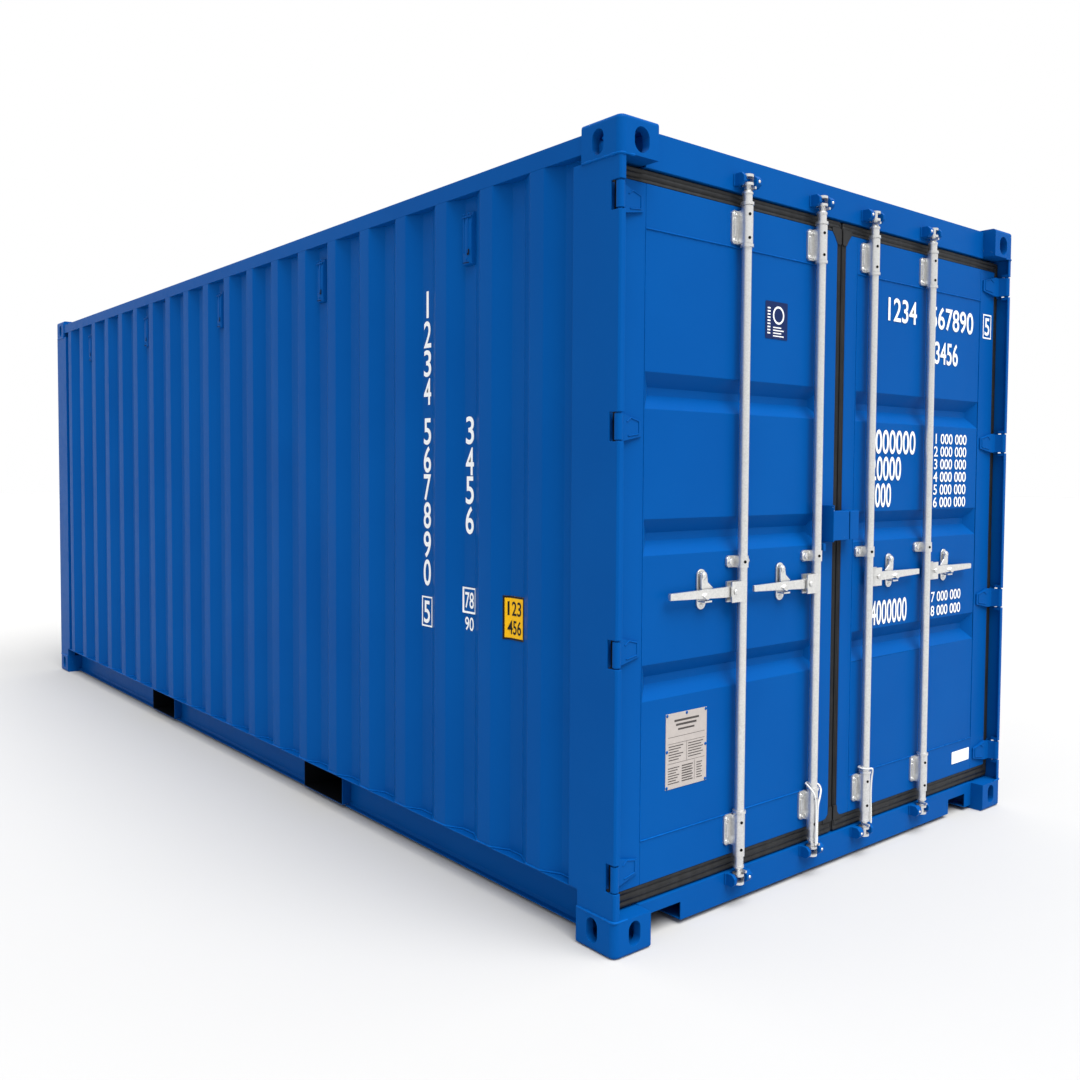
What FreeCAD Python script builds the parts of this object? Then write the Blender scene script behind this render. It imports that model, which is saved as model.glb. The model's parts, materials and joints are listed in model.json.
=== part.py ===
import FreeCAD, Part
import math
import os
import re
import Sketcher

# A twenty-foot steel dry-freight container, in millimetres.
# X runs across the width, Y from the doors (-Y) to the closed front end (+Y), Z up.
# The origin is the middle of the footprint, on the ground.
#
# Most places are given by two distances from one corner of the footprint:
#   inward(a)  how far in from the left side plane
#   behind(d)  how far behind the door-end plane
# Everything on the right side is the mirror image of the left side.

SIZES = {
    # the box
    "overall_width": 2438,
    "overall_length": 6058,
    "overall_height": 2591,
    # corner castings
    "casting_width": 162,
    "casting_length": 178,
    "casting_height": 118,
    "casting_wall": 30,
    "casting_thin_wall": 14,
    "casting_round": 14,
    "casting_corner": 26,
    "aperture_from_side": 89.5,
    "aperture_from_end": 102.5,
    "aperture_length": 124.5,
    "aperture_radius": 31.75,
    "side_hole_radius": 25.5,
    "side_hole_height": 79.5,
    "side_hole_level": 67,
    # door-end posts
    "post_inset": 4,
    "post_plate": 6,
    "post_lip": 28,
    "post_depth": 220,
    "post_inner": 54,
    "post_stop": 118,
    "post_stop_plate": 12,
    "slot_depth": 46,
    "slot_height": 90,
    # hinges
    "hinge_first": 252,
    "hinge_pitch": 700,
    "pin_inset": 18,
    "pin_radius": 8,
    "barrel_radius": 13.5,
    "barrel_height": 80,
    "blade_height": 84,
    "blade_tip_height": 52,
    "blade_tip": 152,
    "blade_root": 43,
    # header, sill and rails
    "beam_inset": 55,
    "beam_plate": 4.5,
    "header_low": 2467,
    "header_high": 2583,
    "header_stop": 2447,
    "sill_low": 16,
    "sill_high": 121,
    "floor_top": 170,
    "floor_thickness": 28,
    "notch_near": 860,
    "notch_far": 1000,
    "notch_height": 78,
    "rail_low": 13,
    "rail_high": 175,
    "rail_web": 102,
    "rail_lower_edge": 72,
    "rail_upper_edge": 6,
    "top_rail_low": 2503,
    "top_rail_high": 2563,
    "top_rail_width": 60,
    "top_rail_inset": 5,
    "front_inset": 8,
    "front_rail_depth": 70,
    # sheets
    "side_sheet": 1.6,
    "side_crest": 5,
    "side_wave": 36,
    "side_pitch": 281,
    "side_first_crest": 402,
    "side_crest_flat": 72,
    "side_trough_flat": 70,
    "front_wave": 45,
    "front_pitch": 250,
    "front_crest_flat": 72,
    "front_trough_flat": 70,
    "roof_sheet": 2,
    "roof_wave": 20,
    "roof_pitch": 209,
    "roof_rib_foot": 120,
    "roof_rib_top": 84,
    "roof_edge": 19,
    "roof_flat_edge": 80,
    # underframe
    "pocket_from_middle": 1025,
    "pocket_width": 360,
    "pocket_height": 115,
    "pocket_plate": 4.5,
    "pocket_strap": 200,
    "pocket_lip": 60,
    "member_height": 122,
    "member_width": 45,
    "member_plate": 4,
    "member_pitch": 300,
    # ventilators
    "vent_width": 60,
    "vent_height": 190,
    "vent_depth": 22,
    "vent_top": 2448,
    # doors
    "door_face": 60,
    "door_depth": 50,
    "leaf_hinge_edge": 47,
    "leaf_gap": 28,
    "leaf_low": 181,
    "leaf_high": 2420,
    "hinge_stile": 122,
    "centre_stile": 76,
    "upper_rail": 139,
    "lower_rail": 144,
    "tube_wall": 3.2,
    "panel_sheet": 2,
    "panel_seam": 1,
    "band_pitch": 470,
    "band_middle": 1304,
    "band_height": 122,
    "band_floor": 30,
    "band_depth": 36,
    "seal_front": 61,
    "seal_back": 112,
    "seal_high": 2462,
    "seal_low": 126,
    "seal_hinge_edge": 15,
    "seal_gap": 4.5,
    # locking gear
    "inner_bar": 171,
    "outer_bar": 594,
    "bar_depth": 30,
    "bar_radius": 17,
    "bar_bore": 13.5,
    "bar_play": 0.6,
    "cam_radius": 20,
    "cam_top": 2523,
    "cam_bottom": 82,
    "cam_finger": 9,
    "cam_gap": 19,
    "cam_web": 8,
    "cam_neck": 12,
    "neck_radius": 10.5,
    "flange_slope": 10,
    "flange_rim": 7,
    "flange_radius": 19,
    "plug_length": 26,
    "spur_reach": 29,
    "spur_start": 6,
    "spur_width": 8,
    "collar_radius": 23,
    "collar_height": 10,
    "sleeve_radius": 20.5,
    "sleeve_top": 2419,
    "sleeve_height": 128,
    "sleeve_bottom": 181,
    "wing_half": 50,
    "wing_plate": 7,
    "wing_height": 107,
    "upper_wing_height": 112,
    "wing_round": 9,
    "clamp_half": 56,
    "clamp_height": 40,
    "clamp_middle": 1208,
    "keeper_inner": 27,
    "keeper_outer": 41,
    "keeper_wide": 54,
    "keeper_front": 12,
    "keeper_height": 42,
    "keeper_nose": 18,
    "lobe_thickness": 9,
    "lobe_reach": 5,
    "keeper_base": 4,
    "hub_height": 71,
    "hub_middle": 1107,
    "hub_reach": 70,
    "hub_plate": 6,
    "hub_front": 15,
    "hub_back": 45,
    "hub_pin": 50,
    "hub_pin_radius": 7,
    "handle_thickness": 12,
    "handle_root": 37,
    "handle_tip": 22,
    "handle_round": 20,
    "handle_length": 362,
    "catch_from_bar": 182,
    "catch_half": 22,
    "catch_top": 1188,
    "catch_bottom": 1054,
    "catch_pivot": 1168,
    "catch_plate": 6,
    "catch_arm": 6,
    "catch_gap": 6,
    "rivet_radius": 5,
    "seat_top": 1086,
    "seat_half": 18,
    "lock_box_left": 103,
    "lock_box_right": 60,
    "lock_box_seam": 3,
    "lock_box_low": 1262,
    "lock_box_high": 1371,
    "lock_box_side_low": 1256,
    "lock_box_side_high": 1394,
    "lock_box_front": 4,
    "lock_box_plate": 5,
    "data_plate_left": 284,
    "data_plate_width": 200,
    "data_plate_low": 467,
    "data_plate_height": 252,
    "data_plate_thickness": 1.5,
    # tie ropes
    "rope_diameter": 7,
}

HINGES = 4
KEEPER_BARS = ("outer_bar", "inner_bar")

doc = FreeCAD.newDocument("container")
sheet = doc.addObject("Spreadsheet::Sheet", "sizes")
for row, (alias, number) in enumerate(SIZES.items(), start=1):
    sheet.set(f"A{row}", alias)
    sheet.set(f"B{row}", str(number))
    sheet.setAlias(f"B{row}", alias)
doc.recompute()

WORD = re.compile(r"[a-z][a-z_]+")


def cell_expression(text):
    """Turn plain words into references to the sheet: 'post_plate * 2' and the like."""
    return WORD.sub(lambda match: "sizes." + match.group(0), str(text))


def number(text):
    """The value of an expression, worked out from the sheet."""
    value = sheet.evalExpression(cell_expression(text))
    return float(getattr(value, "Value", value))


def inward(a):
    """X of a place a in from the left side plane."""
    return f"(({a}) - overall_width / 2)"


def behind(d):
    """Y of a place d behind the door-end plane."""
    return f"(({d}) - overall_length / 2)"


def ahead(d):
    """Y of a place d in front of the closed end's plane."""
    return f"(overall_length / 2 - ({d}))"


def bind(thing, **expressions):
    for name, text in expressions.items():
        thing.setExpression(name.replace("__", "."), cell_expression(text))


def place(thing, x="0", y="0", z="0"):
    bind(thing, Placement__Base__x=x, Placement__Base__y=y, Placement__Base__z=z)
    return thing


def named(kind, name):
    thing = doc.addObject(kind, name)
    thing.Label = name
    return thing


def box(name, x, y, z):
    """A box between pairs of expressions: x=(low, high) and so on."""
    block = named("Part::Box", name)
    bind(
        block, Length=f"({x[1]}) - ({x[0]})", Width=f"({y[1]}) - ({y[0]})",
        Height=f"({z[1]}) - ({z[0]})",
    )
    return place(block, x[0], y[0], z[0])


def cylinder(name, radius, x, y, z, height, axis="Z"):
    """A cylinder that starts at (x, y, z) and runs for height along a row axis."""
    rod = named("Part::Cylinder", name)
    bind(rod, Radius=radius, Height=height)
    turns = {
        "X": FreeCAD.Rotation(FreeCAD.Vector(0, 1, 0), 90),
        "Y": FreeCAD.Rotation(FreeCAD.Vector(1, 0, 0), -90),
        "Z": FreeCAD.Rotation(),
    }
    rod.Placement = FreeCAD.Placement(FreeCAD.Vector(), turns[axis])
    return place(rod, x, y, z)


def frustum(name, x, y, z, inset, axis="Y"):
    """A block whose far face along axis is smaller by inset on every side.

    The base is at the low end of y (or z); its size is given by the other two pairs.
    """
    block = named("Part::Wedge", name)
    if axis == "Y":
        bind(
            block,
            Xmin="0", Xmax=f"{x[1]} - {x[0]}", X2min=inset, X2max=f"{x[1]} - {x[0]} - ({inset})",
            Ymin="0", Ymax=f"{y[1]} - {y[0]}",
            Zmin="0", Zmax=f"{z[1]} - {z[0]}", Z2min=inset, Z2max=f"{z[1]} - {z[0]} - ({inset})",
        )
    return place(block, x[0], y[0], z[0])


def cut(name, base, tools):
    tool = tools[0] if len(tools) == 1 else fuse(name + "_tools", tools)
    result = named("Part::Cut", name)
    result.Base = base
    result.Tool = tool
    return result


def fuse(name, parts):
    result = named("Part::MultiFuse", name)
    result.Shapes = parts
    return result


def common(name, parts):
    result = named("Part::MultiCommon", name)
    result.Shapes = parts
    return result


def group(name, parts):
    """Solids that don't touch, kept together as one sub-part."""
    result = named("Part::Compound", name)
    result.Links = parts
    return result


def mirror(name, source, normal):
    result = named("Part::Mirroring", name)
    result.Source = source
    result.Normal = normal
    return result


ACROSS = FreeCAD.Vector(1, 0, 0)
ALONG = FreeCAD.Vector(0, 1, 0)


def both_sides(name, source):
    """The left piece and its mirror image on the right, as one sub-part."""
    return group(name, [source, mirror(name + "_right", source, ACROSS)])


def prism(name, plane, corners, start, length, hole=None):
    """A polygon padded along its normal, as a PartDesign body.

    corners are pairs of expressions, across and up on the plane; each is held by two bound
    distances. start is how far along the plane's normal the pad begins, and hole is an
    optional second polygon inside the first. The normals are +Z, -Y and +X.
    """
    body = named("PartDesign::Body", name)
    sketch = body.newObject("Sketcher::SketchObject", name + "_outline")
    origin = [part for part in body.Origin.OriginFeatures if part.Role == plane][0]
    sketch.AttachmentSupport = [(origin, "")]
    sketch.MapMode = "FlatFace"
    bind(sketch, AttachmentOffset__Base__z=start)
    for loop in (corners, hole):
        if not loop:
            continue
        first = sketch.GeometryCount
        ends = [FreeCAD.Vector(number(across), number(up), 0) for across, up in loop]
        for index, end in enumerate(ends):
            following = ends[(index + 1) % len(ends)]
            sketch.addGeometry(Part.LineSegment(end, following), False)
        for index in range(len(ends)):
            following = (index + 1) % len(ends)
            sketch.addConstraint(
                Sketcher.Constraint("Coincident", first + index, 2, first + following, 1)
            )
        for index, (across, up) in enumerate(loop):
            for kind, text, size in (
                ("DistanceX", across, ends[index].x), ("DistanceY", up, ends[index].y)
            ):
                held = sketch.addConstraint(
                    Sketcher.Constraint(kind, -1, 1, first + index, 1, size)
                )
                sketch.setExpression(f"Constraints[{held}]", cell_expression(text))
    pad = body.newObject("PartDesign::Pad", name + "_pad")
    pad.Profile = sketch
    bind(pad, Length=length)
    body.Tip = pad
    return body


def rectangle(x, y):
    return [(x[0], y[0]), (x[1], y[0]), (x[1], y[1]), (x[0], y[1])]


# ---------------------------------------------------------------- corner castings


def obround(name, axis, x, y, z, radius, length, run, depth):
    """A slot with round ends: two cylinders and the block between them.

    (x, y, z) is the slot's middle at the start of its depth, run is the axis that it is
    long in, and depth is how far it goes along axis.
    """
    reach = f"({length}) / 2 - {radius}"
    middle = {"X": x, "Y": y, "Z": z}
    pieces = []
    for end, sign in (("low", "-"), ("high", "+")):
        spot = dict(middle)
        spot[run] = f"({middle[run]} {sign} ({reach}))"
        pieces.append(
            cylinder(f"{name}_{end}", radius, spot["X"], spot["Y"], spot["Z"], depth, axis)
        )
    spans = {}
    for direction in "XYZ":
        if direction == axis:
            spans[direction] = (middle[direction], f"{middle[direction]} + {depth}")
        elif direction == run:
            spans[direction] = (
                f"({middle[direction]} - ({reach}))", f"({middle[direction]} + ({reach}))"
            )
        else:
            spans[direction] = (f"({middle[direction]} - {radius})", f"({middle[direction]} + {radius})")
    pieces.append(box(name + "_middle", spans["X"], spans["Y"], spans["Z"]))
    return fuse(name, pieces)


def corner_casting(level, low, plate_side):
    """The hollow casting at the left of the doors: level is 'bottom' or 'top'.

    low is the height of its underside. plate_side tells whether the thick plate with the
    big aperture is underneath or on top.
    """
    name = level + "_casting_door_left"
    high = f"{low} + casting_height"
    block = box(
        name + "_block",
        (inward("0"), inward("casting_width")),
        (behind("0"), behind("casting_length")),
        (low, high),
    )
    doc.recompute()
    rounded = named("Part::Fillet", name + "_rounded")
    rounded.Base = block
    left = number(inward("0"))
    front = number(behind("0"))
    outer = number(low) if plate_side == "below" else number(high)
    edges = []
    for index, edge in enumerate(block.Shape.Edges, start=1):
        middle = edge.CenterOfMass
        on_left = abs(middle.x - left) < 0.01
        on_front = abs(middle.y - front) < 0.01
        on_plate = abs(middle.z - outer) < 0.01
        if on_left + on_front + on_plate >= 2:
            radius = number("casting_corner" if on_left and on_front else "casting_round")
            edges.append((index, radius, radius))
    rounded.Edges = edges
    thick = ("casting_wall", "casting_thin_wall")
    under, over = thick if plate_side == "below" else reversed(thick)
    hollow = box(
        name + "_hollow",
        (inward("casting_wall"), inward("casting_width - casting_thin_wall")),
        (behind("casting_wall"), behind("casting_length - casting_thin_wall + 2")),
        (f"{low} + {under}", f"{high} - {over}"),
    )
    hole_level = f"{low} + side_hole_level" if plate_side == "below" else f"{high} - side_hole_level"
    aperture_start = f"{low} - 1" if plate_side == "below" else f"{high} - casting_wall - 1"
    aperture = obround(
        name + "_aperture", "Z",
        inward("aperture_from_side"), behind("aperture_from_end"), f"({aperture_start})",
        "aperture_radius", "aperture_length", "Y", "casting_wall + 2",
    )
    side_hole = obround(
        name + "_side_hole", "X",
        inward("-1"), behind("aperture_from_end"), f"({hole_level})",
        "side_hole_radius", "side_hole_height", "Z", "casting_wall + 2",
    )
    end_radius = "side_hole_radius" if plate_side == "below" else "aperture_radius"
    end_hole = obround(
        name + "_end_hole", "Y",
        inward("aperture_from_side"), behind("-1"), f"({hole_level})",
        end_radius, "side_hole_height", "Z", "casting_wall + 2",
    )
    return cut(name, rounded, [hollow, aperture, side_hole, end_hole])


def all_castings():
    """Eight castings: each level's first one and its three mirror images."""
    castings = []
    for level, low, plate_side in (
        ("bottom", "0", "below"), ("top", "overall_height - casting_height", "above")
    ):
        first = corner_casting(level, low, plate_side)
        right = mirror(level + "_casting_door_right", first, ACROSS)
        front_left = mirror(level + "_casting_front_left", first, ALONG)
        front_right = mirror(level + "_casting_front_right", front_left, ACROSS)
        castings += [first, right, front_left, front_right]
    return castings


# ---------------------------------------------------------------- posts


def hinge_level(index):
    return f"(hinge_first + hinge_pitch * {index})"


def door_end_posts():
    """A pressed outer post with a lip round the corner and a thick inner stop post."""
    inset = "post_inset"
    inner_face = "post_inset + post_plate"
    outline = [
        (inset, "post_depth"), (inset, "post_inset + 6"),
        ("post_inset + 6", inset), ("post_lip", inset),
        ("post_lip", inner_face), ("post_inset + 10", inner_face),
        (inner_face, "post_inset + 10"), (inner_face, "post_stop"),
        ("post_inner", "post_stop"), ("post_inner", "post_depth"),
    ]
    hollow = rectangle(
        (inner_face, "post_inner - post_stop_plate"),
        ("post_stop + post_stop_plate", "post_depth - post_plate"),
    )
    post = prism(
        "door_end_post_section", "XY_Plane",
        [(inward(a), behind(d)) for a, d in outline],
        "casting_height", "overall_height - casting_height * 2",
        [(inward(a), behind(d)) for a, d in hollow],
    )
    slots = [
        box(
            f"hinge_slot_{index + 1}",
            (inward("0"), inward("post_lip + 2")),
            (behind("0"), behind("slot_depth")),
            (f"({hinge_level(index)} - slot_height / 2)", f"({hinge_level(index)} + slot_height / 2)"),
        )
        for index in range(HINGES)
    ]
    foot = box(
        "door_end_post_foot", (inward("0"), inward("post_inner + 1")),
        (behind("casting_length"), behind("post_depth + 1")), ("casting_height - 1", "rail_high"),
    )
    return both_sides("door_end_posts", cut("door_end_post_left", post, slots + [foot]))


def front_end_posts():
    """A closed pressed section round the front corner."""
    wall = "post_plate"
    outline = [
        ("post_inset", "post_inset"), ("casting_width", "post_inset"),
        ("casting_width", "front_rail_depth"), ("post_inner", "front_rail_depth"),
        ("post_inner", "post_depth"), ("post_inset", "post_depth"),
    ]
    hollow = [
        (f"post_inset + {wall}", f"post_inset + {wall}"),
        (f"casting_width - {wall}", f"post_inset + {wall}"),
        (f"casting_width - {wall}", f"front_rail_depth - {wall}"),
        (f"post_inner - {wall}", f"front_rail_depth - {wall}"),
        (f"post_inner - {wall}", f"post_depth - {wall}"),
        (f"post_inset + {wall}", f"post_depth - {wall}"),
    ]
    post = prism(
        "front_end_post_section", "XY_Plane",
        [(inward(a), ahead(d)) for a, d in outline],
        "casting_height", "overall_height - casting_height * 2",
        [(inward(a), ahead(d)) for a, d in hollow],
    )
    foot = box(
        "front_end_post_foot", (inward("0"), inward("post_inner + 1")),
        (ahead("post_depth + 1"), ahead("casting_length")), ("casting_height - 1", "rail_high"),
    )
    return both_sides("front_end_posts", cut("front_end_post_left", post, [foot]))


def hinge_pins():
    """On each post, two lugs with the pin between them, at every hinge slot."""
    pins = []
    inner_face = "post_inset + post_plate"
    lug = [
        (inner_face, "post_inset + 10"), ("post_inset + 10", inner_face), ("post_lip", inner_face),
        ("post_lip", "pin_inset * 2"), (inner_face, "pin_inset * 2"),
    ]
    for index in range(HINGES):
        level = hinge_level(index)
        pieces = []
        for end, low in (
            ("lower", f"({level} - slot_height / 2 - 12)"), ("upper", f"({level} + slot_height / 2)")
        ):
            pieces.append(prism(
                f"hinge_lug_{end}_{index + 1}", "XY_Plane",
                [(inward(a), behind(d)) for a, d in lug], low, "12",
            ))
        pieces.append(cylinder(
            f"hinge_pin_rod_{index + 1}", "pin_radius",
            inward("pin_inset"), behind("pin_inset"), f"({level} - slot_height / 2 - 6)",
            "slot_height + 12",
        ))
        pins.append(fuse(f"hinge_pin_left_{index + 1}", pieces))
    left = group("hinge_pins_left", pins)
    return group("hinge_pins", pins + [mirror("hinge_pins_right", left, ACROSS)])


# ---------------------------------------------------------------- header, sill and rails


def beam(name, section, hollow, half_length):
    """A closed section on the YZ plane, centred on the container's middle plane."""
    return prism(name, "YZ_Plane", section, f"-({half_length})", f"2 * ({half_length})", hollow)


def door_header():
    """The beam over the doors, with the stop that the upper seal closes against."""
    t = "beam_plate"
    front = behind("beam_inset")
    back = behind("casting_length")
    main = beam(
        "header_beam",
        rectangle((front, back), ("header_low", "header_high")),
        rectangle((f"{front} + {t}", f"{back} - {t}"), (f"header_low + {t}", f"header_high - {t}")),
        "overall_width / 2 - casting_width",
    )
    stop = box(
        "header_stop_bar",
        (inward("post_inner"), f"-{inward('post_inner')}"),
        (behind("post_stop"), back),
        ("header_stop", "header_low"),
    )
    return fuse("door_header", [main, stop])


def door_sill():
    """The beam under the doors: a front face, the stop for the seal, and two lower notches."""
    t = "beam_plate"
    front = behind("beam_inset")
    back = behind("casting_length")
    stop = behind("post_stop")
    section = [
        (front, "sill_low"), (back, "sill_low"), (back, "casting_height"),
        (stop, "casting_height"), (stop, "sill_high"), (front, "sill_high"),
    ]
    hollow = [
        (f"{front} + {t}", f"sill_low + {t}"), (f"{back} - {t}", f"sill_low + {t}"),
        (f"{back} - {t}", f"casting_height - {t}"), (f"{front} + {t}", f"casting_height - {t}"),
    ]
    main = beam("sill_beam", section, hollow, "overall_width / 2 - casting_width")
    threshold = box(
        "sill_threshold",
        (inward("post_inner"), f"-{inward('post_inner')}"),
        (stop, back),
        ("casting_height", "floor_top"),
    )
    left_notch = box(
        "sill_notch_left", ("-notch_far", "-notch_near"), (behind("0"), back + " + 1"),
        ("0", "notch_height"),
    )
    right_notch = mirror("sill_notch_right", left_notch, ACROSS)
    return cut("door_sill", fuse("sill_solid", [main, threshold]), [left_notch, right_notch])


def front_rails():
    """The top and bottom beams of the closed front end, between the castings."""
    t = "beam_plate"
    half = "overall_width / 2 - casting_width"
    near = ahead("front_rail_depth")
    far = ahead("front_inset")
    rails = []
    for name, low, high in (
        ("front_upper_beam", "top_rail_low", "header_high"), ("front_lower_rail", "sill_low", "rail_high")
    ):
        rails.append(beam(
            name,
            rectangle((near, far), (low, high)),
            rectangle((f"{near} + {t}", f"{far} - {t}"), (f"{low} + {t}", f"{high} - {t}")),
            half,
        ))
    header_plate = box(
        "front_header_plate", (f"-({half})", f"({half})"), (ahead("casting_length"), near),
        ("top_rail_high", "top_rail_high + beam_plate"),
    )
    rails[0] = fuse("front_upper_rail", [rails[0], header_plate])
    return rails


def bottom_side_rails():
    """A channel that opens outwards, wide on top to carry the side wall, cut at the pockets."""
    t = "beam_plate"
    section = [
        ("rail_upper_edge", "rail_high"), ("rail_upper_edge", f"rail_high - {t}"),
        ("rail_web", f"rail_high - {t}"), ("rail_web", f"rail_low + {t} + 9"),
        ("rail_web - 9", f"rail_low + {t}"), ("rail_lower_edge", f"rail_low + {t}"),
        ("rail_lower_edge", "rail_low"), (f"rail_web + {t}", "rail_low"),
        (f"rail_web + {t}", "rail_high"),
    ]
    rail = prism(
        "bottom_side_rail_section", "XZ_Plane",
        [(inward(a), z) for a, z in section],
        behind("casting_length"), "overall_length - casting_length * 2",
    )
    # The XZ plane's normal is -Y, so the pad starts at the front end's casting.
    openings = [
        box(
            f"rail_pocket_opening_{index}",
            (inward("0"), inward("rail_web + 20")),
            (f"({side}pocket_from_middle - pocket_width / 2 - pocket_plate)",
             f"({side}pocket_from_middle + pocket_width / 2 + pocket_plate)"),
            ("0", "floor_top - floor_thickness"),
        )
        for index, side in ((1, "-"), (2, ""))
    ]
    return both_sides("bottom_side_rails", cut("bottom_side_rail_left", rail, openings))


def top_side_rails():
    """A square tube on each side, between the top castings."""
    t = "post_plate / 2"
    a = ("top_rail_inset", "top_rail_inset + top_rail_width")
    rail = prism(
        "top_side_rail_left", "XZ_Plane",
        rectangle((inward(a[0]), inward(a[1])), ("top_rail_low", "top_rail_high")),
        behind("casting_length"), "overall_length - casting_length * 2",
        rectangle(
            (f"{inward(a[0])} + {t}", f"{inward(a[1])} - {t}"),
            (f"top_rail_low + {t}", f"top_rail_high - {t}"),
        ),
    )
    return both_sides("top_side_rails", rail)


# ---------------------------------------------------------------- sheets


def wave(start, end, first_crest, pitch, crest_flat, trough_flat):
    """Corners of a trapezium wave between two ends, as (along, 0 on a crest to 1 in a trough).

    The sheet has a trough at each end, and its first crest's middle is at first_crest.
    """
    slope = (pitch - crest_flat - trough_flat) / 2
    waves = int((end - slope - crest_flat / 2 - first_crest) // pitch) + 1
    corners = [(start, 1)]
    for index in range(waves):
        crest = first_crest + index * pitch
        corners += [
            (crest - crest_flat / 2 - slope, 1), (crest - crest_flat / 2, 0),
            (crest + crest_flat / 2, 0), (crest + crest_flat / 2 + slope, 1),
        ]
    corners.append((end, 1))
    return [corner for corner in corners if start <= corner[0] <= end]


def corrugated_wall(name, corners, low, high):
    """A wall from its outer wave and the same wave moved in by the sheet's thickness."""
    face = Part.Face(Part.makePolygon([FreeCAD.Vector(x, y, low) for x, y in corners + corners[:1]]))
    wall = named("Part::Feature", name)
    wall.Shape = face.extrude(FreeCAD.Vector(0, 0, high - low))
    return wall


def side_walls():
    start = number(behind("post_depth"))
    end = number(ahead("post_depth"))
    line = wave(
        start, end, number(behind("side_first_crest")),
        number("side_pitch"), number("side_crest_flat"), number("side_trough_flat"),
    )
    outer = [(number(inward(f"side_crest + side_wave * {depth}")), y) for y, depth in line]
    inner = [(x + number("side_sheet"), y) for x, y in reversed(outer)]
    left = corrugated_wall(
        "left_side_wall", outer + inner, number("rail_high"), number("top_rail_low")
    )
    return [left, mirror("right_side_wall", left, ACROSS)]


def front_wall():
    half = number("overall_width / 2 - casting_width")
    pitch = number("front_pitch")
    waves = 2 * half // pitch
    line = wave(
        -half, half, -(waves - 1) * pitch / 2,
        pitch, number("front_crest_flat"), number("front_trough_flat"),
    )
    outer = [(x, number(ahead(f"front_inset + front_wave * {depth}"))) for x, depth in line]
    inner = [(x, y - number("side_sheet")) for x, y in reversed(outer)]
    return corrugated_wall("front_wall", outer + inner, number("rail_high"), number("top_rail_low"))


def roof_panel():
    """A flat sheet with pressed ribs across it, each a hollow low frustum with closed ends."""
    t = number("roof_sheet")
    low = number("top_rail_high")
    half = number("overall_width / 2 - roof_edge")
    rib_half = half - number("roof_flat_edge")
    start = number(behind("casting_length"))
    end = number(ahead("casting_length"))
    foot = number("roof_rib_foot")
    top = number("roof_rib_top")
    rise = number("roof_wave")

    def rib(middle, shrink, height, base):
        """A frustum: foot and top rectangles, both smaller by shrink, joined by loft."""
        inset = (foot - top) / 2
        loops = []
        for width, reach, z in (
            (foot / 2 - shrink, rib_half - shrink, base),
            (top / 2 - shrink, rib_half - inset - shrink, base + height),
        ):
            corners = [(-reach, -width), (reach, -width), (reach, width), (-reach, width)]
            points = [FreeCAD.Vector(x, middle + y, z) for x, y in corners]
            loops.append(Part.makePolygon(points + points[:1]))
        return Part.makeLoft(loops, True, True)

    pitch = number("roof_pitch")
    ribs = int((end - start - foot) // pitch) + 1
    first = (start + end) / 2 - (ribs - 1) * pitch / 2
    middles = [first + index * pitch for index in range(ribs)]
    plate = Part.makeBox(2 * half, end - start, t, FreeCAD.Vector(-half, start, low))
    raised = plate.fuse([rib(middle, 0, rise, low + t) for middle in middles])
    roof = named("Part::Feature", "roof_panel")
    roof.Shape = raised.cut([rib(middle, t, rise, low - 0.001) for middle in middles]).removeSplitter()
    return roof


def floor_boards():
    side = "rail_web + beam_plate + 2"
    return box(
        "floor_boards",
        (inward(side), f"-{inward(side)}"),
        (behind("casting_length"), ahead("front_rail_depth")),
        ("floor_top - floor_thickness", "floor_top"),
    )


def cross_members():
    """Channels across the underframe, at an even pitch, left out where the pockets are."""
    half = number("overall_width / 2 - rail_web - beam_plate")
    high = number("floor_top - floor_thickness")
    height = number("member_height")
    width = number("member_width")
    plate = number("member_plate")
    pocket = number("pocket_from_middle")
    clear = number("pocket_width / 2 + pocket_plate + member_width")
    pitch = number("member_pitch")
    count = int(number("(overall_length - casting_length * 2) / member_pitch"))
    members = []
    for index in range(count):
        y = (index - (count - 1) / 2) * pitch
        if abs(abs(y) - pocket) < clear:
            continue
        outer = Part.makeBox(2 * half, width, height, FreeCAD.Vector(-half, y - width / 2, high - height))
        inner = Part.makeBox(
            2 * half, width, height - 2 * plate,
            FreeCAD.Vector(-half, y - width / 2 + plate, high - height + plate),
        )
        members.append(outer.cut(inner))
    result = named("Part::Feature", "cross_members")
    result.Shape = Part.makeCompound(members)
    return result


def fork_pockets():
    """Two tunnels across the underframe, open underneath but for a strap at each end."""
    side = "pocket_lip"
    roof_low = "(floor_top - floor_thickness - pocket_plate)"
    strap_low = f"({roof_low} - pocket_height - pocket_plate)"
    pockets = []
    for index, sign in ((1, "-"), (2, "")):
        middle = f"({sign}pocket_from_middle)"
        near = f"({middle} - pocket_width / 2 - pocket_plate)"
        far = f"({middle} + pocket_width / 2 + pocket_plate)"
        x = (inward(side), f"-{inward(side)}")
        pieces = [
            box(f"pocket_{index}_roof", x, (near, far), (roof_low, f"{roof_low} + pocket_plate")),
            box(f"pocket_{index}_near", x, (near, f"{near} + pocket_plate"),
                (strap_low, f"{roof_low} + pocket_plate")),
            box(f"pocket_{index}_far", x, (f"({far} - pocket_plate)", far),
                (strap_low, f"{roof_low} + pocket_plate")),
            box(f"pocket_{index}_left_strap", (x[0], f"{x[0]} + pocket_strap"), (near, far),
                (strap_low, f"{strap_low} + pocket_plate")),
            box(f"pocket_{index}_right_strap", (f"({x[1]} - pocket_strap)", x[1]), (near, far),
                (strap_low, f"{strap_low} + pocket_plate")),
        ]
        pockets.append(fuse(f"fork_pocket_{index}", pieces))
    return pockets


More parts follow.
